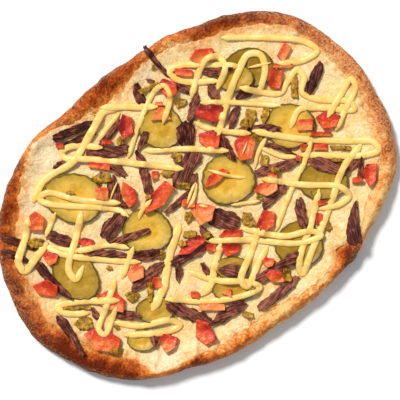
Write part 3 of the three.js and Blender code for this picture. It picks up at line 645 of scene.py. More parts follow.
class Effect(Graph):
    """A node group that takes a place, its Size in mm and more numbers, and gives a number."""

    def __init__(self, name: str, inputs: dict[str, float], output: str) -> None:
        """Starts the group with its sockets."""
        super().__init__(bpy.data.node_groups.new(name, "ShaderNodeTree"))
        sockets = self.tree.interface
        sockets.new_socket("Vector", in_out="INPUT", socket_type="NodeSocketVector")
        for label, value in inputs.items():
            socket = sockets.new_socket(label, in_out="INPUT", socket_type="NodeSocketFloat")
            socket.default_value = value
        sockets.new_socket(output, in_out="OUTPUT", socket_type="NodeSocketFloat")
        self.given = self.add("NodeGroupInput").outputs
        self.scale = self.math("DIVIDE", 1.0, self.given["Size"])

    def cells(self) -> bpy.types.Node:
        """Cells of the group's size."""
        inputs = {"Vector": self.given["Vector"], "Scale": self.scale}
        return self.add("ShaderNodeTexVoronoi", inputs)

    def giving(self, value: Socket) -> bpy.types.NodeTree:
        """The group, which puts out a value."""
        self.add("NodeGroupOutput", {0: value})
        return self.tree


class SharedEffects:
    """Node groups that several finishes place."""

    def __init__(self) -> None:
        """Builds each group once."""
        self.patches = self.build_patches()
        self.specks = self.build_specks()
        self.grain = self.build_grain()

    def build_patches(self) -> bpy.types.NodeTree:
        """Uneven patches, with the noise levels where they start and are full."""
        group = Effect("food patches", {"Size": 10.0, "Start": 0.45, "Full": 0.65}, "Mask")
        made = group.noise(group.given["Vector"], group.scale, detail=4.0, rough=0.6, warp=0.4)
        return group.giving(group.rise(made, group.given["Start"], group.given["Full"]))

    def build_specks(self) -> bpy.types.NodeTree:
        """Scattered spots: Size is the distance between them, Reach the largest one's share."""
        group = Effect("food specks", {"Size": 3.0, "Reach": 0.25}, "Mask")
        cells = group.cells()
        chosen = group.add("ShaderNodeSeparateColor", {0: cells.outputs["Color"]})
        reach = group.product(group.given["Reach"], chosen.outputs[0])
        return group.giving(group.rise(cells.outputs["Distance"], reach, 0.0))

    def build_grain(self) -> bpy.types.NodeTree:
        """Fine relief, with pits of the same size cut into it by Pits."""
        group = Effect("food grain", {"Size": 1.0, "Pits": 0.5}, "Height")
        bumps = group.noise(group.given["Vector"], group.scale, detail=5.0, rough=0.65)
        pits = (group.cells().outputs["Distance"], group.given["Pits"])
        return group.giving(group.total(bumps, pits))


class Surface(Graph):
    """The graph of one material, with its shader, its place in mm and the shared effects."""

    def __init__(self, name: str, effects: SharedEffects) -> None:
        """Starts an empty material."""
        self.material = bpy.data.materials.new(name)
        self.material.use_nodes = True
        super().__init__(self.material.node_tree)
        self.effects = effects
        self.inputs = self.tree.nodes["Principled BSDF"].inputs
        place = self.add("ShaderNodeTexCoord").outputs["Object"]
        scaled = self.add("ShaderNodeVectorMath", {0: place, "Scale": 1 / MM}, operation="SCALE")
        self.where = scaled.outputs[0]

    def attribute(self, name: str) -> Socket:
        """A value kept on the mesh."""
        return self.add("ShaderNodeAttribute", attribute_name=name).outputs["Fac"]

    def cloud(self, size: float, detail: float, rough: float, warp: float = 0.0) -> Socket:
        """Noise with features of a size in mm."""
        return self.noise(self.where, 1 / size, detail, rough, warp)

    def effect(self, group: bpy.types.NodeTree, **numbers: float) -> Socket:
        """A shared effect with its numbers."""
        inputs = {"Vector": self.where, **numbers}
        return self.add("ShaderNodeGroup", inputs, node_tree=group).outputs[0]

    def patches(self, size: float, start: float, full: float) -> Socket:
        """The shared patches, with their size in mm."""
        return self.effect(self.effects.patches, Size=size, Start=start, Full=full)

    def specks(self, size: float, reach: float) -> Socket:
        """The shared specks, with their distance in mm."""
        return self.effect(self.effects.specks, Size=size, Reach=reach)

    def grain(self, size: float, pits: float) -> Socket:
        """The shared grain, with its size in mm."""
        return self.effect(self.effects.grain, Size=size, Pits=pits)



@dataclass(frozen=True)
class Finish:
    """What the finishes share: how rough and bright they are, and how deep light goes in mm."""

    name: str = "finish"
    rough: tuple[float, float] = (0.5, 0.5)
    specular: float = 0.5
    inner_light: float = 0.0
    inner_reach: tuple[float, float, float] = (1.0, 1.0, 1.0)

    def layers(self, on: Surface) -> Layers:
        """The colour, the value that the roughness follows, and the normal."""
        raise NotImplementedError

    def material(self, effects: SharedEffects) -> bpy.types.Material:
        """The finish as a material."""
        on = Surface(self.name, effects)
        colour, uneven, normal = self.layers(on)
        low, high = self.rough
        rough = on.add("ShaderNodeMapRange", {"Value": uneven, "To Min": low, "To Max": high})
        on.feed(on.inputs["Base Color"], colour)
        on.feed(on.inputs["Roughness"], rough.outputs[0])
        on.feed(on.inputs["Normal"], normal)
        on.inputs["Specular IOR Level"].default_value = self.specular
        if self.inner_light:
            on.inputs["Subsurface Weight"].default_value = self.inner_light
            on.inputs["Subsurface Radius"].default_value = [
                reach * MM for reach in self.inner_reach
            ]
        return on.material


@dataclass(frozen=True)
class CrustFinish(Finish):
    """Baked dough, from pale through gold to dark brown, with flour where it was dusted."""

    name: str = "baked crust"
    rough: tuple[float, float] = (0.7, 1.0)
    specular: float = 0.06
    pale: Colour = (248, 196, 122)
    gold: Colour = (226, 132, 56)
    brown: Colour = (180, 80, 28)
    dark: Colour = (108, 38, 14)
    flour: Colour = (240, 200, 148)

    def layers(self, on: Surface) -> Layers:
        """Reads the browning, which holds painted light on the rim's right and lower right, and
        the flour from the mesh.
        """
        # the browning holds painted light: paler on the rim's right and lower right, which the key
        # light leaves in shade
        bake = on.attribute("bake")
        broad = on.cloud(size=9, detail=4, rough=0.6, warp=0.3)
        cracks = on.cloud(size=3.6, detail=5, rough=0.7, warp=0.9)
        fine = on.cloud(size=1.6, detail=5, rough=0.75)
        level = on.total(bake, (broad, 1.3), (cracks, 1.2), (fine, 1.1), -1.8)
        colour = on.ramp(
            level, self.pale, (0.0, 0.32, self.gold), (0.3, 0.66, self.brown),
            (0.62, 1.0, self.dark),
        )
        dust = on.patches(size=1.5, start=0.42, full=0.6)
        colour = on.tint(colour, on.product(dust, on.attribute("flour")), 0.7, self.flour)
        scorch = on.product(on.specks(size=2.6, reach=0.6), on.rise(bake, 0.2, 0.8))
        colour = on.tint(colour, scorch, 0.6, self.dark)
        normal = on.bump(on.grain(size=1.1, pits=0.6), depth=0.6, strength=0.9)
        wrinkles = on.cloud(size=3.2, detail=4, rough=0.65, warp=0.8)
        return colour, fine, on.bump(wrinkles, depth=1.5, strength=0.8, normal=normal)


@dataclass(frozen=True)
class CheeseFinish(Finish):
    """Melted cheese and cream: pale, with warm patches and toasted edges."""

    name: str = "melted cheese"
    rough: tuple[float, float] = (0.3, 0.6)
    inner_light: float = 0.1
    inner_reach: tuple[float, float, float] = (2.0, 1.4, 0.8)
    cream: Colour = (244, 219, 156)
    white: Colour = (240, 219, 178)
    warm: Colour = (240, 198, 120)
    toast: Colour = (230, 160, 86)
    burnt: Colour = (172, 90, 40)

    def layers(self, on: Surface) -> Layers:
        """Reads toast and milk from the mesh."""
        colour = on.mix(on.patches(size=12, start=0.42, full=0.62), self.cream, self.warm)
        curd = on.patches(size=3.5, start=0.5, full=0.66)
        colour = on.tint(colour, curd, 0.7, self.white)
        colour = on.tint(colour, on.attribute("milk"), 0.75, self.white)
        broad = on.cloud(size=3.6, detail=5, rough=0.7, warp=0.6)
        level = on.total(on.attribute("toast"), (broad, 2.0), -1.2)
        colour = on.ramp(level, colour, (0.0, 0.6, self.toast))
        spots = on.patches(size=2.4, start=0.55, full=0.7)
        burn = on.product(spots, on.rise(level, 0.15, 0.8))
        colour = on.tint(colour, burn, 0.8, self.burnt)
        pores = on.patches(size=1.9, start=0.5, full=0.66)
        colour = on.tint(colour, pores, 0.55, self.toast)
        colour = on.tint(colour, on.specks(size=4.5, reach=0.2), 0.6, self.burnt)
        bubbles = on.cloud(size=3.4, detail=4, rough=0.55, warp=0.8)
        normal = on.bump(on.grain(size=1.3, pits=0.3), depth=0.25, strength=0.7)
        return colour, broad, on.bump(bubbles, depth=1.3, strength=0.9, normal=normal)


@dataclass(frozen=True)
class GherkinFinish(Finish):
    """Pickled cucumber: olive gold flesh, seeds in its middle and a dark skin."""

    name: str = "gherkin"
    rough: tuple[float, float] = (0.3, 0.5)
    specular: float = 0.25
    inner_light: float = 0.2
    inner_reach: tuple[float, float, float] = (4.0, 3.0, 1.0)
    flesh: Colour = (236, 190, 72)
    core: Colour = (222, 168, 46)
    light: Colour = (244, 206, 96)
    olive: Colour = (148, 110, 8)
    skin: Colour = (92, 70, 10)
    seed: Colour = (240, 204, 116)

    def layers(self, on: Surface) -> Layers:
        """Reads radial and tone from the mesh."""
        radial = on.attribute("radial")
        ripple = on.cloud(size=4.5, detail=4, rough=0.6, warp=0.8)
        edge = on.total(radial, (ripple, 0.16))
        colour = on.ramp(edge, self.core, (0.35, 0.82, self.flesh))
        colour = on.tint(colour, on.rise(edge, 0.6, 0.85), 0.3, self.light)
        pale = on.patches(size=9, start=0.45, full=0.7)
        colour = on.tint(colour, pale, 0.45, self.light)
        seeds = on.product(on.specks(size=3.2, reach=0.5), on.fall(radial, 0.45, 0.7))
        colour = on.tint(colour, seeds, 0.35, self.seed)
        # the tone turns a slice olive; on the third slice it is painted shade
        shade = on.total(on.attribute("tone"), (ripple, 0.5))
        colour = on.ramp(shade, colour, (0.3, 1.25, self.olive))
        moss = on.patches(size=6, start=0.48, full=0.68)
        colour = on.tint(colour, moss, 0.35, self.olive)
        colour = on.tint(colour, on.rise(edge, 0.5, 1.02), 0.6, self.olive)
        colour = on.tint(colour, on.rise(edge, 0.97, 1.03), 0.85, self.skin)
        normal = on.bump(on.grain(size=1.8, pits=0.5), depth=0.16, strength=0.6)
        return colour, ripple, on.bump(ripple, depth=0.5, strength=0.5, normal=normal)


@dataclass(frozen=True)
class BeefFinish(Finish):
    """Roast beef: brown violet fibres, darker in the folds and where tone is high."""

    name: str = "beef"
    rough: tuple[float, float] = (0.7, 0.42)
    specular: float = 0.15
    fibre: float = 0.95
    stretch: float = 0.1
    light: Colour = (156, 92, 68)
    middle: Colour = (90, 38, 26)
    dark: Colour = (36, 12, 8)

    def layers(self, on: Surface) -> Layers:
        """Reads tone, along and across from the mesh."""
        tone = on.attribute("tone")
        along = on.product(on.attribute("along"), self.stretch)
        inputs = {"X": along, "Y": on.attribute("across"), "Z": tone}
        place = on.add("ShaderNodeCombineXYZ", inputs).outputs[0]
        fibres = on.noise(place, 1 / self.fibre, detail=4, rough=0.7, warp=0.4)
        patches = on.patches(size=5, start=0.4, full=0.65)
        level = on.total(-0.42, (fibres, 2.2), (tone, -0.42), (patches, 0.3))
        colour = on.ramp(level, self.dark, (0.18, 0.5, self.middle), (0.5, 0.85, self.light))
        normal = on.bump(on.grain(size=0.9, pits=0.4), depth=0.15, strength=0.6)
        return colour, fibres, on.bump(fibres, depth=0.45, strength=0.9, normal=normal)


@dataclass(frozen=True)
class TomatoFinish(Finish):
    """Cut tomato: pink orange flesh that deepens to red skin with tone."""

    name: str = "tomato"
    rough: tuple[float, float] = (0.16, 0.4)
    specular: float = 0.35
    inner_light: float = 0.15
    inner_reach: tuple[float, float, float] = (4.0, 1.0, 1.0)
    pink: Colour = (236, 136, 68)
    orange: Colour = (228, 88, 34)
    red: Colour = (208, 54, 24)
    deep: Colour = (146, 24, 14)
    seed: Colour = (246, 196, 110)

    def layers(self, on: Surface) -> Layers:
        """Reads tone and across from the mesh."""
        cloud = on.cloud(size=4, detail=5, rough=0.65, warp=0.8)
        skin_side = on.rise(on.attribute("across"), -0.5, 1.0)
        level = on.total(on.attribute("tone"), (cloud, 1.4), -0.98, (skin_side, 0.6))
        colour = on.ramp(
            level, self.pink, (0.05, 0.4, self.orange), (0.35, 0.72, self.red),
            (0.8, 1.15, self.deep),
        )
        seeds = on.product(on.specks(size=4.2, reach=0.45), on.fall(level, 0.45, 0.8))
        colour = on.tint(colour, seeds, 0.5, self.seed)
        normal = on.bump(on.grain(size=2.0, pits=0.3), depth=0.2, strength=0.5)
        return colour, cloud, on.bump(cloud, depth=1.3, strength=0.7, normal=normal)


@dataclass(frozen=True)
class HerbFinish(Finish):
    """Chopped pickle: wet olive green, from mustard green to brown."""

    name: str = "chopped pickle"
    rough: tuple[float, float] = (0.35, 0.6)
    specular: float = 0.35
    light: Colour = (218, 176, 56)
    middle: Colour = (168, 120, 18)
    dark: Colour = (92, 56, 6)

    def layers(self, on: Surface) -> Layers:
        """Follows one cloud."""
        cloud = on.cloud(size=3, detail=4, rough=0.65, warp=0.6)
        colour = on.ramp(cloud, self.dark, (0.35, 0.52, self.middle), (0.52, 0.7, self.light))
        return colour, cloud, on.bump(on.grain(size=1.2, pits=0.5), depth=0.4, strength=0.8)


@dataclass(frozen=True)
class MustardFinish(Finish):
    """Smooth pale yellow mustard with deeper patches."""

    name: str = "mustard"
    rough: tuple[float, float] = (0.3, 0.5)
    inner_light: float = 0.25
    inner_reach: tuple[float, float, float] = (3.0, 2.0, 0.8)
    pale: Colour = (251, 212, 124)
    deep: Colour = (246, 194, 90)

    def layers(self, on: Surface) -> Layers:
        """Follows patches, and a soft cloud in its relief."""
        colour = on.mix(on.patches(size=6, start=0.4, full=0.7), self.pale, self.deep)
        soft = on.cloud(size=2.5, detail=3, rough=0.5)
        return colour, soft, on.bump(soft, depth=0.25, strength=0.4)


@dataclass(frozen=True)
class FloorFinish:
    """A plain white studio floor."""

    colour: Colour = (244, 244, 244)
    roughness: float = 0.9

    def material(self) -> bpy.types.Material:
        """The finish as a material."""
        made = bpy.data.materials.new("studio floor")
        made.use_nodes = True
        inputs = made.node_tree.nodes["Principled BSDF"].inputs
        inputs["Base Color"].default_value = linear(self.colour)
        inputs["Roughness"].default_value = self.roughness
        return made


@dataclass(frozen=True)
class RimSpot:
    """How the rim looks in one direction of the picture, in degrees from the right. Its browning
    on the right and lower right is set lower, as painted light where the key light leaves the rim
    in shade.
    """

    direction: float
    bare: float
    bake: float
    flour: float


# The browning at 0, 305, 325 and 347 degrees is lowered, which paints light onto the rim's right
# and lower right where the key light leaves it in shade.
RIM = tuple(RimSpot(*values) for values in (
    (0, 12, 0.1, 0.3), (20, 13, 0.48, 0.55), (45, 12, 0.45, 0.7), (62, 10, 0.65, 0.35),
    (80, 12, 0.92, 0.0), (100, 9, 0.45, 0.1), (112, 8, 0.65, 0.0), (125, 16, 0.72, 0.0),
    (140, 15, 0.62, 0.0), (154, 6, 0.45, 0.1), (162, 2, 0.25, 0.0), (170, 7, 0.8, 0.0),
    (185, 13, 0.8, 0.0), (212, 15, 0.72, 0.25), (228, 17, 1.0, 0.0), (240, 16, 0.92, 0.0),
    (250, 14, 0.92, 0.0), (259, 3, 0.35, 0.0), (270, 8, 0.65, 0.0), (285, 10, 0.42, 0.0),
    (305, 13, 0.2, 0.0), (325, 7, 0.2, 0.0), (334, 7, 0.6, 0.1), (340, 14, 0.95, 0.0),
    (347, 5, 0.1, 0.3),
))


@dataclass
class Plan:
    """The bread's outline and how its rim changes round it."""

    flank: tuple[float, float] = (4.0, 7.8)
    least_reach: float = 88.0
    angles: np.ndarray = field(init=False)
    reaches: np.ndarray = field(init=False)

    def __post_init__(self) -> None:
        """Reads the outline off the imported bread's flank, by direction."""
        points = np.array([vert.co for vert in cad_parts["crust"].data.vertices]) / MM
        reaches = np.hypot(points[:, 0], points[:, 1])
        low, high = self.flank
        widest = (points[:, 2] > low) & (points[:, 2] < high) & (reaches > self.least_reach)
        self.angles = np.arctan2(points[widest, 1], points[widest, 0])
        self.reaches = reaches[widest]

    def reach(self, angle: float) -> float:
        """How far the edge lies from the middle in a direction, in mm."""
        return float(np.interp(angle, self.angles, self.reaches, period=2 * math.pi))

    def inset(self, point: Vector) -> float:
        """How far a point lies inside the edge, in mm."""
        return self.reach(math.atan2(point.y, point.x)) - math.hypot(point.x, point.y)

    def rim(self, angle: float, what: str) -> float:
        """One of the rim's values in a direction of the part's axes."""
        directions = [turned(spot.direction) for spot in RIM]
        values = [getattr(spot, what) for spot in RIM]
        return float(np.interp(angle, directions, values, period=2 * math.pi))


@dataclass(frozen=True)
class Blister:
    """A bump on the rim: its place in the picture and its size in mm."""

    at: Reading
    reach: float
    height: float

    def cover(self, point: Vector, spread: float = 1.0) -> float:
        """How much of the bump is at a point, from 0 past its spread reach to 1."""
        middle = on_pizza(self.at)
        away = math.hypot(point.x - middle.x, point.y - middle.y)
        return fade(away, 0, self.reach * spread)


BLISTERS = tuple(Blister(*values) for values in (
    ((133, 362), 5, 1.4), ((118, 366), 4, 1.2), ((104, 362), 5, 1.2), ((352, 257), 6, 1.3),
    ((62, 340), 6, 1.2), ((20, 290), 5, 1.0), ((108, 84), 7, 1.2), ((222, 20), 4, 1.0),
    ((250, 18), 5, 1.0), ((385, 150), 6, 1.0), ((14, 205), 5, 1.0), ((196, 358), 5, 1.0),
))


@dataclass
class Bread:
    """The flatbread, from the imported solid, with its lumps and blisters in the mesh."""

    plan: Plan
    rounds: int = 3
    lump: Relief = Relief(0.9, 10)
    wrinkle: Relief = Relief(0.4, 4.2)
    crease: Relief = Relief(0.6, 2.6)
    still_foot: tuple[float, float] = (0.3, 4)
    least_bare: float = 5
    crest_end: tuple[float, float] = (0.55, 1.25)
    floor_bake: float = 0.3
    foot_bake: float = 0.6
    foot_height: float = 7
    edge_bake: float = 1.15
    inner_loss: float = 0.4
    blister_bake: float = 0.25
    blister_spread: float = 1.3
    edge_flour: float = 0.4
    flour_end: tuple[float, float] = (1, 5)

    def relief(self, point: Vector) -> float:
        """How far the surface stands out of the solid at a point, in mm."""
        height = self.lump.at(point) + self.wrinkle.at(point) - abs(self.crease.at(point))
        for blister in BLISTERS:
            height += blister.height * blister.cover(point)
        return height

    def baked(self, point: Vector) -> float:
        """How brown the crust is at a point: most on the rim's outer side and on blisters. The
        rim's value also holds painted light: it is lower, paler, on the right and lower right,
        where the key light leaves the rim in shade.
        """
        angle = math.atan2(point.y, point.x)
        inset = self.plan.inset(point)
        bare = max(self.plan.rim(angle, "bare"), self.least_bare)
        crest = at_least(self.floor_bake, fade(inset, *(bare * end for end in self.crest_end)))
        foot = at_least(self.foot_bake, smoothstep(point.z, 0, self.foot_height))
        outer = self.edge_bake - self.inner_loss * smoothstep(inset / bare, 0.1, 1.0)
        blistered = sum(
            self.blister_bake * spot.cover(point, self.blister_spread) for spot in BLISTERS
        )
        # the rim's browning is lower on the right and lower right: painted light where the key
        # light leaves the rim in shade
        return self.plan.rim(angle, "bake") * crest * outer * foot + blistered

    def dusted(self, point: Vector) -> float:
        """How much flour lies at a point, from 0 to 1: some more along the outer edge."""
        edge = self.edge_flour * fade(self.plan.inset(point), *self.flour_end)
        return self.plan.rim(math.atan2(point.y, point.x), "flour") + edge

    def build(self, effects: SharedEffects, ground: Ground) -> None:
        """Models the bread, lays it on the ground map and dresses it."""
        mesh = bmesh.new()
        mesh.from_mesh(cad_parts["crust"].data)
        bmesh.ops.scale(mesh, vec=(1 / MM, 1 / MM, 1 / MM), verts=mesh.verts)
        bmesh.ops.remove_doubles(mesh, verts=mesh.verts, dist=0.001)
        mesh = evaluated(mesh, "SUBSURF", levels=self.rounds, render_levels=self.rounds)
        mesh.normal_update()
        moves = [
            vert.normal * self.relief(vert.co) * smoothstep(vert.co.z, *self.still_foot)
            for vert in mesh.verts
        ]
        for vert, move in zip(mesh.verts, moves):
            vert.co += move
        paint(mesh, "bake", self.baked)
        paint(mesh, "flour", self.dusted)
        ground.lay(mesh)
        finished("bread", mesh, CrustFinish().material(effects), ["crust"])


@dataclass
class CheeseSheet:
    """The melted cheese, a sheet over the floor that thins out up the rim."""

    plan: Plan
    half_long: float = 150
    half_wide: float = 110
    directions: int = 560
    rings: int = 84
    level: float = 10.9
    edge_thick: float = 0.7
    thinning: float = 4.0
    blend: float = 4.0
    steepest: float = 0.4
    root: float = 2.2
    waves: tuple[Relief, Relief] = (Relief(2.8, 8, 3.1), Relief(2.2, 2.6, 8.7))
    waves_reach: float = 60
    least_bare: float = 1.4
    swells: tuple[Relief, Relief] = (Relief(0.8, 12, 1.7), Relief(0.35, 5, 5.3))
    toast_reach: float = 13.0
    toast_least: float = 0.2
    toast_baked: float = 0.55
    toast_brink: float = 0.25
    brink_half: float = 2.0
    milk: tuple[tuple[Reading, float], ...] = (
        ((45, 155), 24), ((165, 360), 14), ((30, 200), 12), ((140, 70), 12),
    )

    def edge(self, angle: float) -> float:
        """The bare rim's width in a direction, with its melted, uneven line."""
        x, y = math.cos(angle) * self.waves_reach, math.sin(angle) * self.waves_reach
        uneven = sum(wave.over(x, y) for wave in self.waves)
        return max(self.plan.rim(angle, "bare") + uneven, self.least_bare)

    def top(self, x: float, y: float, inset: float, bread: float, brink: float) -> float:
        """The height of the cheese over a point.

        Args:
            x, y: the point in mm.
            inset: how far it lies inside the cheese's edge.
            bread: the bread's height there.
            brink: the bread's height at the edge in the same direction.

        Returns:
            The height in mm.
        """
        swell = sum(swell.over(x, y) for swell in self.swells)
        thin = smoothstep(inset, 0, self.thinning)
        slope = brink - self.steepest * inset
        over_bread = max(bread, slope) + GAP + (self.edge_thick + swell) * thin
        apart = abs(over_bread - self.level - swell)
        fillet = max(self.blend - apart, 0) ** 2 / (4 * self.blend)
        return max(over_bread, self.level + swell) + fillet * thin

    def toasted(self, point: Vector) -> float:
        """How toasted the cheese is at a point: most at its edge. It follows the rim's browning,
        so it is also paler on the right and lower right, as painted light.
        """
        angle = math.atan2(point.y, point.x)
        inside = self.plan.inset(point) - self.plan.rim(angle, "bare")
        # the rim's browning, with its painted light on the right and lower right, sets how strong
        # the toast is
        strength = self.toast_least + self.toast_baked * self.plan.rim(angle, "bake")
        brink = self.toast_brink * fade(inside, -self.brink_half, self.brink_half)
        return strength * fade(inside, 0, self.toast_reach) + brink

    def milky(self, point: Vector) -> float:
        """How white the cream is at a point: most in the middle of each milky spot."""
        return max(
            fade((point.xy - on_pizza(at)).length, reach * 0.4, reach * 1.2)
            for at, reach in self.milk
        )

    def build(self, effects: SharedEffects, ground: Ground) -> None:
        """Models the sheet, from a closed disc of radius 1, lays it and dresses it."""
        inward = [step / self.rings for step in range(self.rings + 1)]
        profile = [(0, 0), (0.5, 0), (1, 0), *((1 - share, 1) for share in inward)]
        mesh = spun(profile, self.directions)
        corner = Vector((self.half_long, self.half_wide, 0))
        bread = ground.cushion(-corner, corner, 0.0, 0.5)
        for vert in mesh.verts:
            reach = vert.co.xy.length
            angle = math.atan2(vert.co.y, vert.co.x)
            limit = self.plan.reach(angle) - self.edge(angle)
            x, y = math.cos(angle) * reach * limit, math.sin(angle) * reach * limit
            under = bread(x, y)
            brink = bread(math.cos(angle) * limit, math.sin(angle) * limit)
            top = self.top(x, y, limit * (1 - reach), under, brink)
            vert.co = Vector((x, y, top if vert.co.z > 0.5 else under - self.root))
        bmesh.ops.recalc_face_normals(mesh, faces=mesh.faces)
        paint(mesh, "toast", self.toasted)
        paint(mesh, "milk", self.milky)
        ground.lay(mesh)
        material = CheeseFinish().material(effects)
        finished("melted_cheese", mesh, material, ["cheese"])


def cornered_outline(
    chunk: Chunk, most_skew: float = 0.16, growth: float = 1.16, most_uneven: float = 0.12
) -> list[Vector]:
    """The corners of a chunk, anticlockwise, in mm. Sines of its place make it irregular.

    Args:
        chunk: the piece.
        most_skew: how far a corner turns out of its place, in radians.
        growth: how much larger the corners lie, as they are rounded later.
        most_uneven: how much further or nearer a corner lies.
    """
    middle = on_pizza(chunk.at)
    turn = Matrix.Rotation(turned(chunk.turn), 2)
    outline = []
    for corner in range(chunk.corners):
        skew = most_skew * math.sin(3.1 * corner + 0.7 * chunk.at[0])
        angle = 2 * math.pi * (corner + 0.5) / chunk.corners + skew
        uneven = growth + most_uneven * math.sin(2.4 * corner + chunk.at[0] + chunk.at[1])
        point = Vector((chunk.long / 2 * math.cos(angle), chunk.wide / 2 * math.sin(angle)))
        outline.append(turn @ (point * uneven) + middle)
    return outline


@dataclass(frozen=True)
class StripLine:
    """The straight line of a strip, for measuring along and across it."""

    start: Vector
    along: Vector
    side: Vector
    length: float

    @staticmethod
    def of(strip: Strip) -> "StripLine":
        """The line of a strip, in mm."""
        start, end = on_pizza(strip.start), on_pizza(strip.end)
        along = (end - start).normalized()
        return StripLine(start, along, Vector((-along.y, along.x)), (end - start).length)

    def place(self, point: Vector) -> tuple[float, float]:
        """How far a point lies along and across the line, in mm."""
        offset = point.xy - self.start
        return offset.dot(self.along), offset.dot(self.side)


def strip_outline(
    strip: Strip, torn_step: float = 2.2, most_bow: float = 0.05, ragged: float = 0.3,
    most_jag: float = 3.2,
) -> list[Vector]:
    """The edge of a strip, with torn ends, anticlockwise, in mm.

    Args:
        strip: the strip.
        torn_step: the distance between the points of its sides, in mm.
        most_bow: how far it bends aside, as a share of its length.
        ragged: how uneven its width is.
        most_jag: how far its ends are torn in and out, in mm.
    """
    line = StripLine.of(strip)
    stations = max(5, round(line.length / torn_step) + 1)

    def edge_point(share: float, across: float) -> Vector:
        """A point at a share of the length, across from -1 to 1."""
        bow = most_bow * line.length * math.sin(math.pi * share) * math.sin(strip.start[0])
        end = min(share, 1 - share) * line.length
        point = abs(math.sin(strip.start[0] + 2 * strip.start[1] + (1 if share > 0.5 else 0)))
        torn = 1 - (0.15 + 0.5 * point) * fade(end, 0, 3 + 4 * point)
        uneven = 1 + ragged * wander(share * line.length, strip.start[1] * across, 2.6, across)
        half = strip.wide / 2 * (1 + (strip.taper - 1) * share) * torn * uneven
        jag = most_jag * wander(across * 5, strip.start[0] + 7 * share, 1.7)
        jag = jag if end < 0.5 else 0
        return (line.start + line.along * (share * line.length + jag)
                + line.side * (bow + across * half))

    shares = [station / (stations - 1) for station in range(stations)]
    teeth = (-0.6, -0.2, 0.2, 0.6)
    right = [edge_point(share, -1) for share in shares]
    far_end = [edge_point(1, across) for across in teeth]
    left = [edge_point(share, 1) for share in reversed(shares)]
    near_end = [edge_point(0, -across) for across in teeth]
    return [*right, *far_end, *left, *near_end]


@dataclass
class Topping:
    """What the toppings share: how they are laid on the food below."""

    ground: Ground
    effects: SharedEffects

    def drape(self, mesh: BMesh, reach: float = 1.5, soften: float = 2.5) -> None:
        """Lays a flat piece on the food below and raises the map to its top."""
        low, high = box_of(mesh.verts)
        rest = self.ground.cushion(low, high, reach, soften)
        for vert in mesh.verts:
            vert.co.z += max(rest(vert.co.x, vert.co.y), OVERHANG_HEIGHT) + GAP
        self.ground.lay(mesh)

    @staticmethod
    def dress_each(
        name: str, node: str, meshes: Iterable[BMesh], material: bpy.types.Material, slot: Slot
    ) -> None:
        """Dresses meshes as numbered pieces, each in place of its node.

        Args:
            name: what the pieces are called before their number.
            node: what the nodes are called before theirs.
            meshes: the laid meshes, in the nodes' order.
            material: their finish.
            slot: the record's slot of the finish; not used.
        """
        for number, mesh in enumerate(meshes, 1):
            finished(f"{name}_{number:02d}", mesh, material, [f"{node}_{number:02d}"])


@dataclass
class GherkinSlices(Topping):
    """Slices of pickled gherkin with a raised skin and a softer middle."""

    thick: float = 3.4
    middle_share: float = 0.82
    steps: int = 96
    rings: int = 20
    lobes: int = 3
    lobe: float = 0.03
    ribs: int = 17
    rib: float = 0.012
    flesh_end: float = 0.93
    hollow: float = 0.5
    hollow_at: float = 0.4
    hollow_wide: float = 0.2
    dent: Relief = Relief(0.3, 3.5, 2.2)

    def disc(self) -> BMesh:
        """A slice of radius 1, lying flat at height 0."""
        lip, dip = self.thick, self.thick * self.middle_share
        skin = [
            (0, 0), (0.5, 0), (0.9, 0.1), (0.97, 0.5), (1, lip * 0.45), (0.992, lip * 0.8),
            (0.965, lip), (0.94, lip * 0.97),
        ]
        inward = [1 - step / self.rings for step in range(self.rings + 1)]
        flesh = [(0.92 * share, dip + (lip * 0.93 - dip) * share ** 4) for share in inward]
        mesh = spun([*skin, *flesh], self.steps)
        bmesh.ops.recalc_face_normals(mesh, faces=mesh.faces)
        return mesh

    def slice_mesh(self, cut: Slice) -> BMesh:
        """One slice with its size, its uneven edge and its hollows, laid on the food."""
        mesh = self.disc()
        paint(mesh, "radial", lambda co: co.xy.length)
        paint(mesh, "tone", lambda co: cut.tone)
        turn = Matrix.Rotation(turned(cut.turn), 2)
        middle = on_pizza(cut.at)
        for vert in mesh.verts:
            angle = math.atan2(vert.co.y, vert.co.x)
            reach = vert.co.xy.length
            uneven = 1 + self.lobe * math.sin(self.lobes * angle + cut.at[0])
            uneven += self.rib * math.sin(self.ribs * angle + cut.at[1])
            flat = Vector((cut.long / 2 * vert.co.x, cut.wide / 2 * vert.co.y)) * uneven
            spot = turn @ flat + middle
            hollow = 0.0
            if vert.co.z > self.thick * 0.5 and reach < self.flesh_end:
                lobes = 0.5 + 0.5 * math.cos(self.lobes * angle + cut.at[1])
                off_middle = (reach - self.hollow_at) / self.hollow_wide
                hollow = self.hollow * lobes * math.exp(-off_middle ** 2)
                hollow += self.dent.over(spot.x, spot.y)
            vert.co = Vector((spot.x, spot.y, vert.co.z - hollow))
        self.drape(mesh, 2.0, 4.0)
        return mesh

    def build(self) -> None:
        """Models, lays and dresses every slice."""
        material = GherkinFinish().material(self.effects)
        slices = map(self.slice_mesh, GHERKINS)
        self.dress_each("slice", "gherkin", slices, material, Slot.GHERKIN)


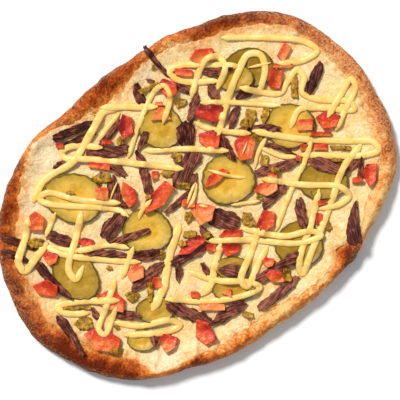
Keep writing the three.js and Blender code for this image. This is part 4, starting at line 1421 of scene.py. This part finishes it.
@dataclass
class BeefStrips(Topping):
    """Roast beef strips with fibres along them and torn ends."""

    thick: float = 2.2
    small_share: float = 0.8
    voxel: float = 0.4
    grain_turn: float = 0.28
    ridge: float = 0.38
    ridge_size: tuple[float, float] = (12, 1.4)
    curl: float = 0.7
    curl_size: float = 11
    curl_rest: float = 0.4
    sway: float = 0.45
    sway_size: float = 3.5

    def strip_mesh(self, strip: Strip, share: float = 1.0) -> BMesh:
        """One strip, laid on the food, with its thickness as a share of a full strip's."""
        line = StripLine.of(strip)
        mesh = softened(prism(strip_outline(strip), self.thick * share), self.voxel, 1)
        grain = Matrix.Rotation(self.grain_turn * math.sin(1.7 * strip.start[0]), 2)
        for vert in mesh.verts:
            along, across = line.place(vert.co)
            fibre = grain @ Vector((along, across))
            long, wide = self.ridge_size
            ridges = noise.noise(Vector((fibre.x / long, fibre.y / wide, strip.start[0])))
            if vert.co.z > self.thick * share * 0.4:
                vert.co.z += self.ridge * ridges
            curl = noise.noise(Vector((along / self.curl_size, strip.start[1], 0.3)))
            vert.co.z += self.curl * (curl + self.curl_rest)
            sway = noise.noise(Vector((along / self.sway_size, across, 1.9)))
            vert.co.xy += line.side * (self.sway * sway)
        paint(mesh, "tone", lambda co: strip.tone)
        paint(mesh, "along", lambda co: (grain @ Vector(line.place(co))).x + strip.start[0])
        paint(mesh, "across", lambda co: (grain @ Vector(line.place(co))).y)
        self.drape(mesh)
        return mesh

    def build(self) -> None:
        """Models, lays and dresses every strip, the small ones in one piece."""
        material = BeefFinish().material(self.effects)
        self.dress_each("strip", "beef", map(self.strip_mesh, BEEF), material, Slot.BEEF)
        small = joined(self.strip_mesh(strip, self.small_share) for strip in SMALL_BEEF)
        finished("small_strips", small, material)


@dataclass
class TomatoPieces(Topping):
    """Cut tomato, with its corners softened and its flesh hollowed."""

    thick: float = 4.6
    small_share: float = 0.7
    voxel: float = 0.5
    swells: tuple[Relief, Relief] = (Relief(0.45, 4), Relief(0.2, 1.8))
    side_share: float = 0.8

    def chunk_mesh(self, chunk: Chunk, share: float = 1.0) -> BMesh:
        """One piece, laid on the food, with its thickness as a share of a full one's."""
        turn = Matrix.Rotation(-turned(chunk.turn), 2)
        middle = on_pizza(chunk.at)
        mesh = softened(prism(cornered_outline(chunk), self.thick * share), self.voxel, 3)
        for vert in mesh.verts:
            swell = sum(swell.at(vert.co) for swell in self.swells)
            if vert.co.z > self.thick * share * 0.5:
                vert.co.z += swell
            vert.co.xy += (vert.co.xy - middle).normalized() * swell * self.side_share
        paint(mesh, "tone", lambda co: chunk.tone)
        paint(mesh, "across", lambda co: (turn @ (co.xy - middle)).y / (chunk.wide / 2))
        self.drape(mesh)
        return mesh

    def build(self) -> None:
        """Models, lays and dresses every piece, the small ones in one piece."""
        material = TomatoFinish().material(self.effects)
        self.dress_each("chunk", "tomato", map(self.chunk_mesh, TOMATO), material, Slot.TOMATO)
        small = joined(self.chunk_mesh(chunk, self.small_share) for chunk in SMALL_TOMATO)
        finished("small_chunks", small, material)


@dataclass
class ChoppedPickle(Topping):
    """Small ragged bits of chopped pickle."""

    thick: float = 2.2
    voxel: float = 0.45
    swells: tuple[Relief, Relief] = (Relief(0.8, 2.4), Relief(0.35, 1.0))

    def bit_mesh(self, chunk: Chunk) -> BMesh:
        """One bit, laid on the food."""
        middle = on_pizza(chunk.at)
        mesh = softened(prism(cornered_outline(chunk), self.thick), self.voxel, 3)
        for vert in mesh.verts:
            swell = sum(swell.at(vert.co) for swell in self.swells)
            if vert.co.z > self.thick * 0.4:
                vert.co.z += swell
            vert.co.xy += (vert.co.xy - middle).normalized() * swell
        self.drape(mesh, 1.0, 1.5)
        return mesh

    def build(self) -> None:
        """Models, lays and dresses the bits as one piece."""
        material = HerbFinish().material(self.effects)
        finished("chopped_pickle", joined(map(self.bit_mesh, HERBS)), material)


@dataclass
class MustardStrokes(Topping):
    """Mustard drawn in strokes over everything, sagging a little between the pieces."""

    height: float = 1.4
    spacing: float = 1.1
    sides: int = 14
    tail: float = 5.0
    tip: float = 0.2
    flatness: float = 0.7
    under_share: float = 0.5
    lift: float = 0.12
    crossing: float = 0.5
    sag_points: int = 3
    swell: tuple[float, float, float] = (1.04, 0.15, 6)
    deepest: float = 0.5
    ring_depth: float = 0.01

    def resting(self, line: Sequence[Vector], drawn: Ground) -> list[float]:
        """How high each point of a line rests.

        Args:
            line: the points in mm.
            drawn: the map with the strokes drawn before.

        Returns:
            The heights in mm, evened out along the line.
        """
        low = Vector((min(point.x for point in line), min(point.y for point in line)))
        high = Vector((max(point.x for point in line), max(point.y for point in line)))
        food = self.ground.cushion(low, high, 1.0, 1.5)
        over = drawn.cushion(low, high, 0.5, 1.5)
        held = [
            food(p.x, p.y) + self.crossing * max(over(p.x, p.y) - food(p.x, p.y), 0)
            for p in line
        ]
        heights = []
        for index, here in enumerate(held):
            near = held[max(index - self.sag_points, 0):index + self.sag_points + 1]
            heights.append(max(sum(near) / len(near), here - self.deepest))
        return heights

    def sections(self, stroke: Stroke, drawn: Ground) -> list[Matrix]:
        """Where each cross-section of a stroke lies, and how large it is.

        Args:
            stroke: the stroke.
            drawn: the map with the strokes drawn before it.

        Returns:
            One matrix a section, for a ring of radius 1.
        """
        line = smooth_line(stroke.line, self.spacing)
        sections = []
        for index, (point, height) in enumerate(zip(line, self.resting(line, drawn))):
            ahead = line[min(index + 1, len(line) - 1)]
            behind = line[max(index - 1, 0)]
            along = (ahead - behind).normalized()
            end = min(index, len(line) - 1 - index) * self.spacing
            size = at_least(self.tip, smoothstep(end, -1, self.tail))
            mean, uneven, long = self.swell
            size *= mean + uneven * wander(index * self.spacing, stroke.line[0][0], long)
            half = stroke.wide / 2 * size
            rise = self.height * size
            sections.append(Matrix((
                (along.x * self.ring_depth, -along.y * half, 0, point.x),
                (along.y * self.ring_depth, along.x * half, 0, point.y),
                (0, 0, rise, height + self.lift * rise),
                (0, 0, 0, 1),
            )))
        return sections

    def stroke_mesh(self, stroke: Stroke, drawn: Ground) -> BMesh:
        """One stroke as a closed, soft bead, which is then drawn on the map."""
        mesh = bmesh.new()
        first, *others = self.sections(stroke, drawn)
        ring = bmesh.ops.create_circle(
            mesh, cap_ends=True, segments=self.sides, radius=1,
            matrix=Matrix.Rotation(math.pi / 2, 4, "Y"),
        )["verts"]
        for vert in ring:
            flat = abs(vert.co.z) ** self.flatness
            vert.co.z = flat if vert.co.z > 0 else -self.under_share * flat
        edges = list(mesh.edges)
        bmesh.ops.transform(mesh, matrix=first, verts=ring)
        last = first
        for place in others:
            grown = bmesh.ops.extrude_edge_only(mesh, edges=edges)["geom"]
            verts = [item for item in grown if isinstance(item, bmesh.types.BMVert)]
            edges = [item for item in grown if isinstance(item, bmesh.types.BMEdge)]
            bmesh.ops.transform(mesh, matrix=place @ last.inverted(), verts=verts)
            last = place
        bmesh.ops.contextual_create(mesh, geom=edges)
        bmesh.ops.recalc_face_normals(mesh, faces=mesh.faces)
        drawn.lay(mesh)
        return mesh

    def build(self) -> None:
        """Draws every stroke over the ones before it, and dresses them as one piece."""
        drawn = Ground()
        drawn.height = self.ground.height.copy()
        meshes = [self.stroke_mesh(stroke, drawn) for stroke in STROKES]
        material = MustardFinish().material(self.effects)
        finished("mustard", joined(meshes), material)


@dataclass
class Studio:
    """A white floor, a soft key light from the picture's upper left, and the camera."""

    floor_size: float = 6.0
    camera_height: float = 2.0
    sharp_height: float = 0.010
    view_end: float = 20.0
    sensor: float = 36.0
    key_strength: float = 3.1
    key_softness: float = 12.0
    key_tilt: float = 36.0
    key_toward: float = -52.0
    sky: float = 0.45
    sky_colour: tuple[float, float, float, float] = (0.88, 0.95, 1.0, 1.0)

    def build_floor(self) -> None:
        """Lays the floor."""
        mesh = bmesh.new()
        bmesh.ops.create_grid(mesh, x_segments=2, y_segments=2, size=self.floor_size / 2)
        data = stored("floor", mesh)
        data.materials.append(FloorFinish().material())
        placed("floor", data)

    def build_lights(self) -> None:
        """Hangs the key light and sets the even light of the room."""
        key = bpy.data.lights.new("key", "SUN")
        key.energy = self.key_strength
        key.angle = math.radians(self.key_softness)
        toward = turned(self.key_toward)
        away = Vector((math.cos(toward), math.sin(toward), 0))
        fall = away * math.tan(math.radians(self.key_tilt)) - UP
        placed("key", key).rotation_euler = fall.to_track_quat("-Z", "Y").to_euler()
        world = bpy.data.worlds.new("room")
        world.use_nodes = True
        room = world.node_tree.nodes["Background"]
        room.inputs["Color"].default_value = self.sky_colour
        room.inputs["Strength"].default_value = self.sky
        bpy.context.scene.world = world

    def build_camera(self) -> None:
        """Sets the camera straight above the picture's middle, rolled as in the picture."""
        data = bpy.data.cameras.new("camera")
        data.sensor_width = self.sensor
        shown = PICTURE_PIXELS * MM_PER_PIXEL * MM
        data.lens = self.sensor * (self.camera_height - self.sharp_height) / shown
        data.clip_end = self.view_end
        camera = placed("camera", data)
        middle = on_pizza((PICTURE_PIXELS / 2, PICTURE_PIXELS / 2)) * MM
        camera.location = (middle.x, middle.y, self.camera_height)
        camera.rotation_euler = (0, 0, -LONG_AXIS_TURN)
        bpy.context.scene.camera = camera

    def build(self) -> None:
        """Builds the studio."""
        self.build_floor()
        self.build_lights()
        self.build_camera()
        bpy.context.scene.view_settings.view_transform = "Standard"


def main() -> None:
    """Builds the pizza from the bread upwards, then the studio."""
    logging.basicConfig(level=logging.INFO)
    effects = SharedEffects()
    ground = Ground()
    plan = Plan()
    Bread(plan).build(effects, ground)
    CheeseSheet(plan).build(effects, ground)
    for topping in (GherkinSlices, BeefStrips, TomatoPieces, ChoppedPickle, MustardStrokes):
        topping(ground, effects).build()
    Studio().build()


if __name__ == "__main__":
    main()
